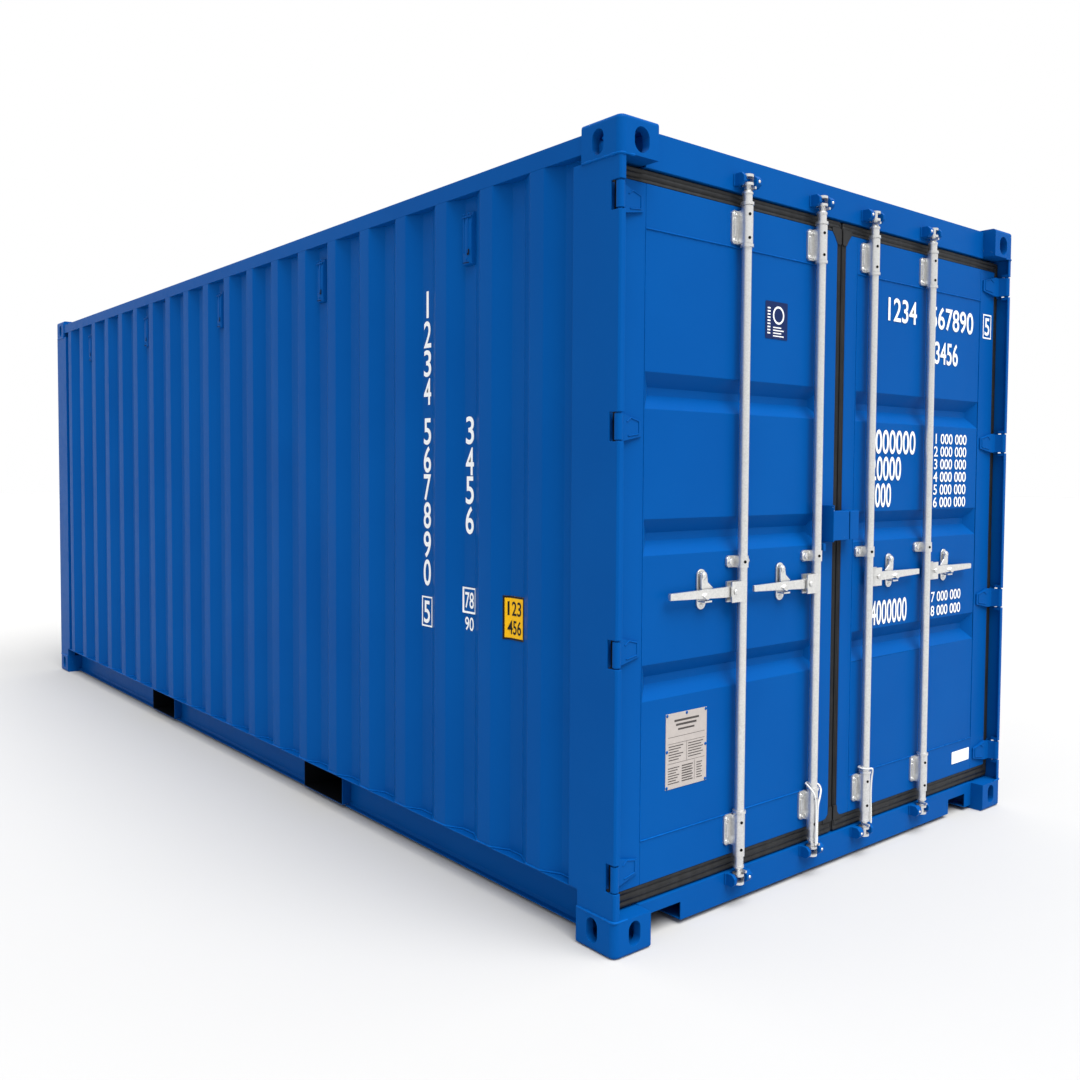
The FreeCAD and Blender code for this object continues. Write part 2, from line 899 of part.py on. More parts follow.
def ventilators():
    """Small louvre covers in wave troughs near the top of each side wall."""
    covers = []
    for index in range(5):
        middle = behind(f"side_first_crest + side_pitch * {1.5 + 4 * index}")
        covers.append(box(
            f"ventilator_left_{index + 1}",
            (inward("side_crest + side_wave - vent_depth"), inward("side_crest + side_wave")),
            (f"({middle} - vent_width / 2)", f"({middle} + vent_width / 2)"),
            ("vent_top - vent_height", "vent_top"),
        ))
    left = group("ventilators_left", covers)
    return group("ventilators", covers + [mirror("ventilators_right", left, ACROSS)])


def cam_keepers():
    """A base with two rounded ears beside each cam, one of them with a lobe in the cam's gap."""
    keepers = []
    for bar in KEEPER_BARS:
        for level, middle in (
            ("top", "(cam_top - cam_finger - cam_gap / 2)"), ("bottom", "(cam_bottom + cam_finger + cam_gap / 2)")
        ):
            name = f"keeper_{bar}_{level}"
            base = box(
                name + "_base",
                (f"(-({bar}) - keeper_outer - keeper_base)", f"(-({bar}) + keeper_wide + keeper_base)"),
                (behind("beam_inset - 4"), behind("beam_inset")),
                (f"({middle} - keeper_height / 2)", f"({middle} + keeper_height / 2)"),
            )
            profile = [
                (behind("beam_inset - 4"), f"{middle} - keeper_height / 2"),
                (behind("keeper_front + 12"), f"{middle} - keeper_height / 2"),
                (behind("keeper_front"), f"{middle} - keeper_nose / 2"),
                (behind("keeper_front"), f"{middle} + keeper_nose / 2"),
                (behind("keeper_front + 12"), f"{middle} + keeper_height / 2"),
                (behind("beam_inset - 4"), f"{middle} + keeper_height / 2"),
            ]
            outer_ear = prism(
                name + "_outer_ear", "YZ_Plane", profile,
                f"(-({bar}) - keeper_outer)", "keeper_outer - keeper_inner",
            )
            inner_ear = prism(
                name + "_inner_ear", "YZ_Plane", profile,
                f"(-({bar}) + keeper_inner)", "keeper_wide - keeper_inner",
            )
            lobe = box(
                name + "_lobe", (f"(-({bar}) - keeper_inner)", f"(-({bar}) - lobe_reach)"),
                (behind("bar_depth + 7"), behind("beam_inset - 4")),
                (f"({middle} - lobe_thickness / 2)", f"({middle} + lobe_thickness / 2)"),
            )
            keepers.append(fuse(name, [base, outer_ear, inner_ear, lobe]))
    left = group("cam_keepers_left", keepers)
    return group("cam_keepers", keepers + [mirror("cam_keepers_right", left, ACROSS)])


# ---------------------------------------------------------------- doors

LEAF_X = (inward("leaf_hinge_edge"), "(-leaf_gap)")
LEAF_Z = ("leaf_low", "leaf_high")
PANEL_X = (inward("leaf_hinge_edge + hinge_stile"), "(-leaf_gap - centre_stile)")
PANEL_Z = ("(leaf_low + lower_rail)", "(leaf_high - upper_rail)")
LEAF_Y = (behind("door_face"), behind("door_face + door_depth"))


def hollow_bar(name, x, z):
    """A closed rectangular tube as deep as the door."""
    t = "tube_wall"
    bar = box(name + "_outside", x, LEAF_Y, z)
    space = box(
        name + "_inside",
        (f"({x[0]} + {t})", f"({x[1]} - {t})"),
        (f"({LEAF_Y[0]} + {t})", f"({LEAF_Y[1]} - {t})"),
        (f"({z[0]} + {t})", f"({z[1]} - {t})"),
    )
    return cut(name, bar, [space])


def door_stiles():
    return group("left_door_stiles", [
        hollow_bar("left_hinge_stile", (LEAF_X[0], PANEL_X[0]), LEAF_Z),
        hollow_bar("left_centre_stile", (PANEL_X[1], LEAF_X[1]), LEAF_Z),
    ])


def door_rails():
    return group("left_door_rails", [
        hollow_bar("left_lower_rail", PANEL_X, (LEAF_Z[0], PANEL_Z[0])),
        hollow_bar("left_upper_rail", PANEL_X, (PANEL_Z[1], LEAF_Z[1])),
    ])


def door_panel():
    """A pressed sheet with three level bands sunk into it, sloped on all four sides."""
    front = "(door_face + panel_seam)"
    sheet_part = box("left_panel_sheet", PANEL_X, (behind(front), behind(f"{front} + panel_sheet")), PANEL_Z)
    slope = "(band_height - band_floor) / 2"
    trays = []
    hollows = []
    for index in (-1, 0, 1):
        middle = f"(band_middle + band_pitch * {index})"
        z = (f"({middle} - band_height / 2)", f"({middle} + band_height / 2)")
        trays.append(frustum(
            f"left_band_tray_{index + 2}", PANEL_X,
            (behind(f"{front} + panel_sheet"), behind(f"{front} + panel_sheet + band_depth")), z, slope,
        ))
        grow = "panel_sheet"
        hollows.append(frustum(
            f"left_band_hollow_{index + 2}",
            (f"({PANEL_X[0]} + {grow})", f"({PANEL_X[1]} - {grow})"),
            (behind(front), behind(f"{front} + band_depth")),
            (f"({z[0]} + {grow})", f"({z[1]} - {grow})"), slope,
        ))
    return cut("left_door_panel", fuse("left_panel_solid", [sheet_part] + trays), hollows)


def door_seal():
    """The rubber seal round the leaf, from the leaf's edges to just short of the frame."""
    y = (behind("seal_front"), behind("seal_back"))
    ring = box("left_seal_outside", (inward("seal_hinge_edge"), "(-seal_gap)"), y, ("seal_low", "seal_high"))
    leaf = box("left_seal_inside", LEAF_X, (f"{y[0]} - 1", f"({y[1]} + 1)"), LEAF_Z)
    return cut("left_door_seal", ring, [leaf])


def hinge_blades():
    """Blades that wrap from the pin to the face of the leaf."""
    plan = [
        ("pin_inset", "pin_inset + barrel_radius"), ("leaf_hinge_edge - 11", "door_face - 4"),
        ("leaf_hinge_edge", "door_face"), ("blade_tip", "door_face"),
        ("blade_tip", "door_face - 6"), ("blade_root + 15", "door_face - 16"),
        ("blade_root", "door_face - 18"), ("pin_inset + barrel_radius", "pin_inset"),
    ]
    blades = []
    for index in range(HINGES):
        level = hinge_level(index)
        flat = prism(
            f"blade_plan_{index + 1}", "XY_Plane",
            [(inward(a), behind(d)) for a, d in plan],
            f"{level} - blade_height / 2", "blade_height",
        )
        face = [
            ("0", f"{level} - barrel_height / 2"), ("blade_root", f"{level} - barrel_height / 2"),
            ("blade_root + 14", f"{level} - blade_height / 2"), ("blade_root + 24", f"{level} - blade_height / 2"),
            ("blade_tip", f"{level} - blade_tip_height / 2"), ("blade_tip", f"{level} + blade_tip_height / 2 - 4"),
            ("blade_root + 56", f"{level} + blade_tip_height / 2 + 6"), ("blade_root + 24", f"{level} + blade_height / 2"),
            ("blade_root + 14", f"{level} + blade_height / 2"),
            ("blade_root", f"{level} + barrel_height / 2"), ("0", f"{level} + barrel_height / 2"),
        ]
        front_view = prism(
            f"blade_face_{index + 1}", "XZ_Plane",
            [(inward(a), z) for a, z in face],
            f"-{behind('door_face + 2')}", "door_face + 4",
        )
        plate = common(f"blade_plate_{index + 1}", [flat, front_view])
        barrel = cylinder(
            f"blade_barrel_{index + 1}", "barrel_radius", inward("pin_inset"), behind("pin_inset"),
            f"({level} - barrel_height / 2)", "barrel_height",
        )
        bore = cylinder(
            f"blade_bore_{index + 1}", "pin_radius + 0.4", inward("pin_inset"), behind("pin_inset"),
            f"({level} - barrel_height)", "barrel_height * 2",
        )
        blades.append(cut(f"left_hinge_blade_{index + 1}", fuse(f"blade_solid_{index + 1}", [plate, barrel]), [bore]))
    return group("left_hinge_blades", blades)


def sleeve_bracket(name, bar, low, high, wing_low, wing_high, half):
    """A sleeve round a lock bar, a block behind it and a wing plate bolted to the leaf."""
    x = f"(-({bar}))"
    y = behind("bar_depth")
    sleeve = cylinder(name + "_sleeve", "sleeve_radius", x, y, low, f"{high} - {low}")
    block = box(
        name + "_block", (f"({x} - sleeve_radius)", f"({x} + sleeve_radius)"),
        (y, behind("door_face")), (wing_low, wing_high),
    )
    r = "wing_round"
    corners = [
        (f"{x} - {half}", f"{wing_low} + {r}"), (f"{x} - {half} + {r}", wing_low),
        (f"{x} + {half} - {r}", wing_low), (f"{x} + {half}", f"{wing_low} + {r}"),
        (f"{x} + {half}", f"{wing_high} - {r}"), (f"{x} + {half} - {r}", wing_high),
        (f"{x} - {half} + {r}", wing_high), (f"{x} - {half}", f"{wing_high} - {r}"),
    ]
    wing = prism(
        name + "_wing", "XZ_Plane", corners, f"-{behind('door_face')}", "wing_plate",
    )
    bore = cylinder(
        name + "_bore", "bar_radius + bar_play", x, y, f"({low} - 10)", f"{high} - {low} + 20"
    )
    return cut(name, fuse(name + "_solid", [sleeve, block, wing]), [bore])


def bar_brackets():
    """An upper, a middle and a lower bracket for each of a door's two bars."""
    brackets = []
    sleeve_low = "(sleeve_top - sleeve_height)"
    lower_top = "(sleeve_bottom + sleeve_height + 21)"
    for bar in KEEPER_BARS:
        brackets += [
            sleeve_bracket(
                f"upper_bracket_{bar}", bar, sleeve_low, "sleeve_top",
                sleeve_low, "(sleeve_top - sleeve_height + upper_wing_height)", "wing_half",
            ),
            sleeve_bracket(
                f"middle_bracket_{bar}", bar,
                "(clamp_middle - clamp_height / 2)", "(clamp_middle + clamp_height / 2)",
                "(clamp_middle - clamp_height / 2)", "(clamp_middle + clamp_height / 2)", "clamp_half",
            ),
            sleeve_bracket(
                f"lower_bracket_{bar}", bar, "sleeve_bottom", lower_top,
                "(lower_top_wing - wing_height)".replace("lower_top_wing", "sleeve_bottom + 145"),
                "(sleeve_bottom + 145)", "wing_half",
            ),
        ]
    return group("left_bar_brackets", brackets)


def catch_middle(bar):
    return f"(-({bar}) - catch_from_bar)"


def catch_plates():
    """On each leaf, the plates behind the handles, with the seat below and the catch's rivet."""
    plates = []
    for bar in KEEPER_BARS:
        x = catch_middle(bar)
        plate = box(
            f"catch_plate_{bar}_back", (f"({x} - catch_half)", f"({x} + catch_half)"),
            (behind("door_face - catch_plate"), behind("door_face")),
            ("catch_bottom + catch_half", "catch_pivot"),
        )
        ends = [
            cylinder(
                f"catch_plate_{bar}_{end}", "catch_half", x, behind("door_face - catch_plate"), level,
                "catch_plate", "Y",
            )
            for end, level in (("top", "catch_pivot"), ("bottom", "catch_bottom + catch_half"))
        ]
        rivet = cylinder(
            f"catch_rivet_{bar}", "rivet_radius", x, behind("door_face - catch_plate - catch_gap - catch_arm - 1"),
            "catch_pivot", "catch_gap + catch_arm + 2", "Y",
        )
        seat = box(
            f"handle_seat_{bar}", (f"({x} - seat_half)", f"({x} + seat_half)"),
            (behind("bar_depth - handle_thickness / 2 - 2"), behind("door_face - 1")),
            ("seat_top - catch_plate", "seat_top"),
        )
        plates.append(fuse(f"catch_plate_{bar}", [plate] + ends + [rivet, seat]))
    return group("left_catch_plates", plates)


def lock_box_half(name, low, high, side_levels):
    """Half of the padlock cover on the meeting stiles: a front, an outer side and a top."""
    t = "lock_box_plate"
    y = (behind("lock_box_front"), behind("door_face"))
    z = ("lock_box_low", "lock_box_high")
    outer_side = (low, f"({low} + {t})") if "left" in name else (f"({high} - {t})", high)
    pieces = [
        box(name + "_front", (low, high), (y[0], f"({y[0]} + {t})"), z),
        box(name + "_side", outer_side, y, side_levels),
        box(name + "_top", (low, high), y, (f"({z[1]} - {t})", z[1])),
    ]
    return fuse(name, pieces)


def data_plate():
    return box(
        "data_plate",
        (inward("data_plate_left"), inward("data_plate_left + data_plate_width")),
        (behind("door_face + panel_seam - data_plate_thickness"), behind("door_face + panel_seam")),
        ("data_plate_low", "data_plate_low + data_plate_height"),
    )


# ---------------------------------------------------------------- locking gear


def cam(name, x, outer, toward):
    """A cam end: two fingers joined by a web on their inner front, a neck with a spur, and a flange.

    outer is the height of its outermost face, and toward is +1 where the bar is above it.
    """
    y = behind("bar_depth")
    head = "cam_finger * 2 + cam_gap"

    def level(distance):
        return f"({outer} + ({distance}) * {toward})"

    def disc(label, near, far, radius):
        ends = sorted((level(near), level(far)), key=number)
        return cylinder(f"{name}_{label}", radius, x, y, ends[0], f"{ends[1]} - {ends[0]}")

    fingers = disc("fingers", "0", head, "cam_radius")
    gap_ends = sorted((level("cam_finger"), level("cam_finger + cam_gap")), key=number)
    gap = box(
        name + "_gap",
        (f"({x} - cam_radius - 1)", f"({x} + cam_radius + 1)"),
        (f"({y} - 3)", f"({y} + cam_radius + 1)"),
        (gap_ends[0], gap_ends[1]),
    )
    side_gap = box(
        name + "_side_gap",
        (f"({x} - cam_radius - 1)", f"({x} + cam_radius - cam_web - 2)"),
        (f"({y} - cam_radius - 1)", f"({y} + 1)"),
        (gap_ends[0], gap_ends[1]),
    )
    neck_end = f"{head} + cam_neck"
    neck = disc("neck", head, neck_end, "neck_radius")
    spur_ends = sorted((level(f"{head} + spur_start"), level(f"{head} + spur_start + spur_width")), key=number)
    spur = box(
        name + "_spur", (f"({x} + 3)", f"({x} + 3 + spur_width)"), (f"({y} - spur_reach)", y),
        (spur_ends[0], spur_ends[1]),
    )
    cone = named("Part::Cone", name + "_cone")
    slope_ends = (level(neck_end), level(f"{neck_end} + flange_slope"))
    narrow_below = number(slope_ends[0]) < number(slope_ends[1])
    bind(
        cone, Height="flange_slope",
        Radius1="neck_radius" if narrow_below else "flange_radius",
        Radius2="flange_radius" if narrow_below else "neck_radius",
    )
    place(cone, x, y, slope_ends[0] if narrow_below else slope_ends[1])
    rim = disc("rim", f"{neck_end} + flange_slope", f"{neck_end} + flange_slope + flange_rim", "flange_radius")
    return fuse(name, [cut(name + "_head", fingers, [gap, side_gap]), neck, spur, cone, rim])


def lock_bar(number_, bar):
    """A bar with a cam at each end, stop collars by the brackets and the handle's hub."""
    name = f"lock_bar_{number_}"
    x = f"(-({bar}))"
    y = behind("bar_depth")
    cam_length = "(cam_finger * 2 + cam_gap + cam_neck + flange_slope)"
    bottom = f"(cam_bottom + {cam_length} + 1)"
    top = f"(cam_top - {cam_length} - 1)"
    tube = cylinder(name + "_tube", "bar_radius", x, y, bottom, f"{top} - {bottom}")
    bore = cylinder(
        name + "_bore", "bar_bore", x, y, f"({bottom} + plug_length)",
        f"{top} - {bottom} - 2 * plug_length",
    )
    collars = [
        cylinder(f"{name}_collar_{label}", "collar_radius", x, y, low, "collar_height")
        for label, low in (
            ("a", "(sleeve_top + 1.5)"), ("b", "(sleeve_top - sleeve_height - collar_height - 1.5)"),
            ("c", "(sleeve_bottom + sleeve_height + 21 + 1.5)"),
        )
    ]
    plates = [
        box(
            f"{name}_hub_{label}", (f"({x} - hub_reach)", f"({x} + bar_radius / 2)"),
            (behind(near), behind(far)), ("(hub_middle - hub_height / 2)", "(hub_middle + hub_height / 2)"),
        )
        for label, near, far in (
            ("front", "hub_front", "hub_front + hub_plate"), ("back", "hub_back - hub_plate", "hub_back")
        )
    ]
    pin = cylinder(
        name + "_hub_pin", "hub_pin_radius", f"({x} - hub_pin)", behind("hub_front - 3"), "hub_middle",
        "hub_back - hub_front + 6", "Y",
    )
    cams = [
        cam(name + "_upper_cam", x, "cam_top", "-1"),
        cam(name + "_lower_cam", x, "cam_bottom", "1"),
    ]
    solid = fuse(name + "_solid", [tube] + collars + plates)
    return fuse(name, [cut(name + "_drilled", solid, [bore]), pin] + cams)


def bar_handle(number_, bar):
    """A flat handle, tapered to its tip, on the hub's pin."""
    name = f"handle_{number_}"
    x = f"(-({bar}))"
    near = "(bar_depth - handle_thickness / 2)"
    arm = prism(
        name + "_arm", "XZ_Plane",
        [
            (f"{x} - hub_pin", "hub_middle - handle_root / 2"),
            (f"{x} - hub_pin", "hub_middle + handle_root / 2"),
            (f"{x} - handle_length", "hub_middle + 3 + handle_tip / 2"),
            (f"{x} - handle_length", "hub_middle + 3 - handle_tip / 2"),
        ],
        f"-{behind('bar_depth + handle_thickness / 2')}", "handle_thickness",
    )
    root = cylinder(
        name + "_root", "handle_root / 2", f"({x} - hub_pin)", behind(near), "hub_middle",
        "handle_thickness", "Y",
    )
    bore = cylinder(
        name + "_bore", "hub_pin_radius + 0.5", f"({x} - hub_pin)", behind(near + " - 5"), "hub_middle",
        "handle_thickness + 10", "Y",
    )
    return cut(name, fuse(name + "_solid", [arm, root]), [bore])


def handle_catch(number_, bar):
    """The arm that hangs over the handle from the catch plate's rivet."""
    name = f"catch_{number_}"
    x = catch_middle(bar)
    far = "(door_face - catch_plate - catch_gap)"
    arm = prism(
        name + "_arm", "XZ_Plane",
        [
            (f"{x} - catch_half + 8", "catch_pivot"), (f"{x} + catch_half - 8", "catch_pivot"),
            (f"{x} + catch_half - 4", "catch_pivot - 22"), (f"{x} + catch_half + 22", "catch_pivot - 42"),
            (f"{x} + catch_half + 16", "catch_pivot - 52"), (f"{x} - catch_half + 10", "catch_pivot - 46"),
        ],
        f"-{behind(far)}", "catch_arm",
    )
    head = cylinder(
        name + "_head", "catch_half - 8", x, behind(far + " - catch_arm"), "catch_pivot", "catch_arm", "Y"
    )
    bore = cylinder(
        name + "_bore", "rivet_radius + 0.4", x, behind(far + " - catch_arm - 5"), "catch_pivot",
        "catch_arm + 10", "Y",
    )
    return cut(name, fuse(name + "_solid", [arm, head]), [bore])


# ---------------------------------------------------------------- tie ropes

# Each rope is doubled and looped round an inner bar above its lowest collar, with both strands
# hanging beside the lower bracket. A point is (right of the bar's axis, behind it, height).

LEFT_ROPE = [
    (-13, -27, 127), (-13, -27, 160), (-12, -26.5, 196), (-11, -26, 234), (-11, -25.5, 274),
    (-16, -24.5, 313), (-28, -18, 338), (-29, 1, 352), (-14.5, 24, 353),
    (13.5, 24, 352), (28.5, 1, 351), (28, -18, 337), (14, -25.5, 312), (-1, -26.5, 283),
    (-3, -26.5, 240), (-4, -26.5, 200), (-4.5, -27, 164), (-4.5, -27, 131),
]
RIGHT_ROPE = [
    (26, -15, 128), (26.5, -14, 160), (27, -12.5, 194), (26, -12, 232), (25.5, -12.5, 272),
    (26.5, -14, 310), (29, -17, 337), (14.5, -24.5, 353), (-13, -24.5, 355), (-28, -1, 354),
    (-14, 24, 353), (14.5, 24, 352), (30, 9, 339), (27.5, -1.5, 311), (25.5, -4, 274),
    (26, -4.5, 235), (27, -5, 198), (27, -6, 164), (26.5, -6.5, 132),
]


def tie_rope(name, middle, route):
    """A round tube along straight runs joined by tangent arcs, each as large as its runs allow."""
    points = [
        FreeCAD.Vector(number(middle) + x, number(behind("bar_depth")) + y, z) for x, y, z in route
    ]
    edges = []
    radii = []
    start = points[0]
    for before, corner, after in zip(points, points[1:], points[2:]):
        back = before - corner
        onward = after - corner
        reach = 0.45 * min(back.Length, onward.Length)
        turn = math.pi - back.getAngle(onward)
        radii.append(reach / math.tan(turn / 2))
        back.normalize()
        onward.normalize()
        arc_start = corner + back * reach
        arc_end = corner + onward * reach
        inwards = back + onward
        inwards.normalize()
        to_centre = radii[-1] / math.cos(turn / 2)
        arc_middle = corner + inwards * (to_centre - radii[-1])
        edges.append(Part.LineSegment(start, arc_start).toShape())
        edges.append(Part.Arc(arc_start, arc_middle, arc_end).toShape())
        start = arc_end
    edges.append(Part.LineSegment(start, points[-1]).toShape())
    path = Part.Wire(edges)
    section = Part.Wire(Part.Circle(points[0], points[1] - points[0], number("rope_diameter / 2")).toShape())
    rope = named("Part::Feature", name)
    rope.Shape = path.makePipeShell([section], True, False)
    area = math.pi * number("rope_diameter / 2") ** 2
    print(
        f"{name}: {path.Length:.0f} long, radii", [round(radius) for radius in radii],
        f"volume {rope.Shape.Volume / (area * path.Length):.3f} of section times length",
    )
    return rope


# ---------------------------------------------------------------- the whole container


def left_to_right(source):
    return mirror(source.Label.replace("left_", "right_"), source, ACROSS)


pieces = all_castings()
pieces += [door_end_posts(), front_end_posts(), hinge_pins(), door_header(), door_sill()]
pieces += front_rails() + [bottom_side_rails(), top_side_rails()]
pieces += side_walls() + [front_wall(), roof_panel(), floor_boards(), cross_members()]
pieces += fork_pockets() + [ventilators(), cam_keepers()]

door_pieces = [
    door_stiles(), door_rails(), door_panel(), door_seal(), hinge_blades(), bar_brackets(), catch_plates()
]
pieces += door_pieces + [left_to_right(piece) for piece in door_pieces]
pieces += [
    lock_box_half(
        "left_lock_box", "(-lock_box_left)", "(-lock_box_seam)", ("lock_box_side_low", "lock_box_side_high")
    ),
    lock_box_half(
        "right_lock_box", "(lock_box_seam)", "(lock_box_right)", ("lock_box_low", "lock_box_high")
    ),
    data_plate(),
]
for outer_number, inner_number, maker in ((1, 2, lock_bar), (1, 2, bar_handle), (1, 2, handle_catch)):
    outer_piece = maker(outer_number, "outer_bar")
    inner_piece = maker(inner_number, "inner_bar")
    pieces += [outer_piece, inner_piece]
    stem = outer_piece.Label[:-1]
    pieces += [mirror(stem + "3", inner_piece, ACROSS), mirror(stem + "4", outer_piece, ACROSS)]

pieces += [
    tie_rope("tie_rope_left", "(-inner_bar)", LEFT_ROPE), tie_rope("tie_rope_right", "inner_bar", RIGHT_ROPE)
]

doc.recompute()
faults = [thing.Name for thing in doc.Objects if "Invalid" in thing.State or "Error" in thing.State]
if faults:
    raise RuntimeError("objects that failed: " + ", ".join(faults))

os.makedirs("parts", exist_ok=True)
for piece in pieces:
    shape = piece.Shape
    if shape.isNull() or not shape.isValid() or not shape.Solids:
        raise RuntimeError(piece.Label + " has no valid shape")
    shape.exportStep(f"parts/{piece.Label}.step")
    print(f"{piece.Label}: {len(shape.Solids)} solids, {shape.Volume / 1e6:.3f} litres")
print(len(pieces), "sub-parts")
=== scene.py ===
"""Finishes a twenty-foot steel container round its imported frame: rounded steel, seals, gear, marks and ropes.

Places are worked out, as on the frame, from two distances in millimetres at the left corner by the doors:
a is how far in from the side, d how far behind the door-end plane. The right side mirrors the left.
"""

import json
import math

import bmesh
import bpy
import numpy as np
from bpy.props import FloatProperty, FloatVectorProperty, IntProperty, PointerProperty
from mathutils import Matrix, Vector


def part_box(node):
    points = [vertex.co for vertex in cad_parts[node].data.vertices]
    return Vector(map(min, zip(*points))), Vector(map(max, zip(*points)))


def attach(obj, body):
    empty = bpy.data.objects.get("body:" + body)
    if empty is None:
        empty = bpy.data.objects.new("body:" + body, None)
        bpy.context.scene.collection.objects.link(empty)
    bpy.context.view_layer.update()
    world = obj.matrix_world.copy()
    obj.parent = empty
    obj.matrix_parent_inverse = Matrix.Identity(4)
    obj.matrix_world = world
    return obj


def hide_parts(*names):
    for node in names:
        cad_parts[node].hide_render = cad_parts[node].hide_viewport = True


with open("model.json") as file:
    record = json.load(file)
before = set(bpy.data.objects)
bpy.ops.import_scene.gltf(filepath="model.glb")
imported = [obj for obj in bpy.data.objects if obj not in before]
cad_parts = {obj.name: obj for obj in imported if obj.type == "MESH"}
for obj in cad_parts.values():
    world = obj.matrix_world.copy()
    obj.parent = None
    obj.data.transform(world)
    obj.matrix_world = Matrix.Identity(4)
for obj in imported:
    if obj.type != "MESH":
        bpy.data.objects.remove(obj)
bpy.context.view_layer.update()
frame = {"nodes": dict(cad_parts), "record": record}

bl_info = {
    "name": "Steel container",
    "version": (1, 0, 0),
    "blender": (4, 5, 0),
    "location": "3D View > Sidebar > Container",
    "description": "Adds paint, pressed sheets, seals, lock gear, marks and ropes to a container's frame",
    "category": "Object",
}

# Half the width and half the length in metres: the door-end plane stands at Y = -END.
SIDE = 1.219
END = 3.029
# The whole length in millimetres, from which a place at the front end is counted back.
LENGTH = 6058
# X of each lock bar's axis, and how far behind the door-end plane the axes are.
BARS = {1: -0.594, 2: -0.171, 3: 0.171, 4: 0.594}
BAR_DEPTH = 0.030
HINGE_LEVELS = tuple(0.252 + 0.7 * step for step in range(4))
HANDLE_LEVEL = 1.107

# How far a side wall's first crest is behind the door-end plane, and the step between crests, in millimetres.
FIRST_CREST = 402
CREST_PITCH = 281
# How far in from the side the wall's crests are, and how much deeper its troughs.
WALL_INSET = 5
WAVE_DEPTH = 36

# ---------------------------------------------------------------- settings


class PaintSettings(bpy.types.PropertyGroup):
    """Colours and finish of the painted steel."""

    blue: FloatVectorProperty(
        name="Blue", description="Colour of the painted steel", subtype="COLOR",
        size=4, min=0, max=1, default=(0.0012, 0.074, 0.300, 1),
    )
    shade: FloatVectorProperty(
        name="Deep blue", description="Colour where the paint is thicker or dulled", subtype="COLOR",
        size=4, min=0, max=1, default=(0.0010, 0.068, 0.283, 1),
    )
    bend: FloatProperty(
        name="Bend", description="Outer radius of the folds in the wall sheets", unit="LENGTH",
        subtype="DISTANCE", default=0.014, min=0.002, max=0.03,
    )
    edge: FloatProperty(
        name="Edge", description="Rounding of thick steel edges", unit="LENGTH",
        subtype="DISTANCE", default=0.003, min=0.0005, max=0.006,
    )


class GearSettings(bpy.types.PropertyGroup):
    """Colours and sizes of the lock gear, seals and ropes."""

    zinc: FloatVectorProperty(
        name="Zinc", description="Colour of the galvanised gear", subtype="COLOR",
        size=4, min=0, max=1, default=(0.76, 0.76, 0.75, 1),
    )
    rubber: FloatVectorProperty(
        name="Rubber", description="Colour of the door seals", subtype="COLOR",
        size=4, min=0, max=1, default=(0.0085, 0.0090, 0.0100, 1),
    )
    bolt: FloatProperty(
        name="Bolt", description="Radius of the bracket bolts' heads", unit="LENGTH",
        subtype="DISTANCE", default=0.008, min=0.004, max=0.012,
    )
    strands: IntProperty(
        name="Strands", description="Strands twisted into each rope", default=3, min=2, max=4,
    )


class StageSettings(bpy.types.PropertyGroup):
    """The floor, the lights and the view."""

    floor: FloatVectorProperty(
        name="Floor", description="Colour of the floor", subtype="COLOR",
        size=4, min=0, max=1, default=(0.48, 0.48, 0.48, 1),
    )
    sky: FloatProperty(
        name="Sky", description="Strength of the light from all round", default=1.0, min=0, max=4,
    )
    overhead: FloatProperty(
        name="Overhead", description="Strength of the broad light above the doors",
        default=4.3, min=0, max=10,
    )
    lens: FloatProperty(
        name="Lens", description="Focal length for a 36 mm wide sensor", unit="CAMERA",
        default=34.62, min=15, max=100,
    )


# ---------------------------------------------------------------- surfaces


def place(a, d, z, side=-1):
    """Points from a, d and z in millimetres: X is side times (1219 - a), Y is d - 3029, all over 1000."""
    a, d, z = np.broadcast_arrays(np.asarray(a, float), np.asarray(d, float), np.asarray(z, float))
    return np.stack([side * (SIDE - a / 1000), d / 1000 - END, z / 1000], -1)


def grid_faces(rows, columns, wrap_rows=False, wrap_columns=False):
    """Four-sided faces of a grid: each joins a point to the next in its row and in its column."""
    row = np.arange(rows if wrap_rows else rows - 1)[:, None]
    column = np.arange(columns if wrap_columns else columns - 1)[None, :]
    next_row, next_column = (row + 1) % rows, (column + 1) % columns
    corners = [row * columns + column, next_row * columns + column,
               next_row * columns + next_column, row * columns + next_column]
    return np.stack(np.broadcast_arrays(*corners), -1).reshape(-1, 4)


def rounded(corners, radius, steps=5, closed=True):
    """A line of corners with each replaced by an arc.

    The arc starts and ends radius times the tangent of half the turn away from its corner, or less
    where a side is short, and its points lie on a quadratic curve with the corner as its middle control.
    """
    corners = np.asarray(corners, float)
    before, after = np.roll(corners, 1, 0), np.roll(corners, -1, 0)
    back, on = before - corners, after - corners
    back_length = np.linalg.norm(back, axis=1, keepdims=True)
    on_length = np.linalg.norm(on, axis=1, keepdims=True)
    back, on = back / np.maximum(back_length, 1e-12), on / np.maximum(on_length, 1e-12)
    turn = math.pi - np.arccos(np.clip((back * on).sum(1, keepdims=True), -1, 1))
    reach = np.minimum(np.asarray(radius, float).reshape(-1, 1) * np.tan(turn / 2),
                       0.45 * np.minimum(back_length, on_length))
    t = np.linspace(0, 1, steps)[None, :, None]
    start, end = (corners + back * reach)[:, None], (corners + on * reach)[:, None]
    arcs = start * (1 - t) ** 2 + corners[:, None] * 2 * t * (1 - t) + end * t ** 2
    if not closed:
        arcs[0], arcs[-1] = corners[0], corners[-1]
    return arcs.reshape(-1, corners.shape[1])


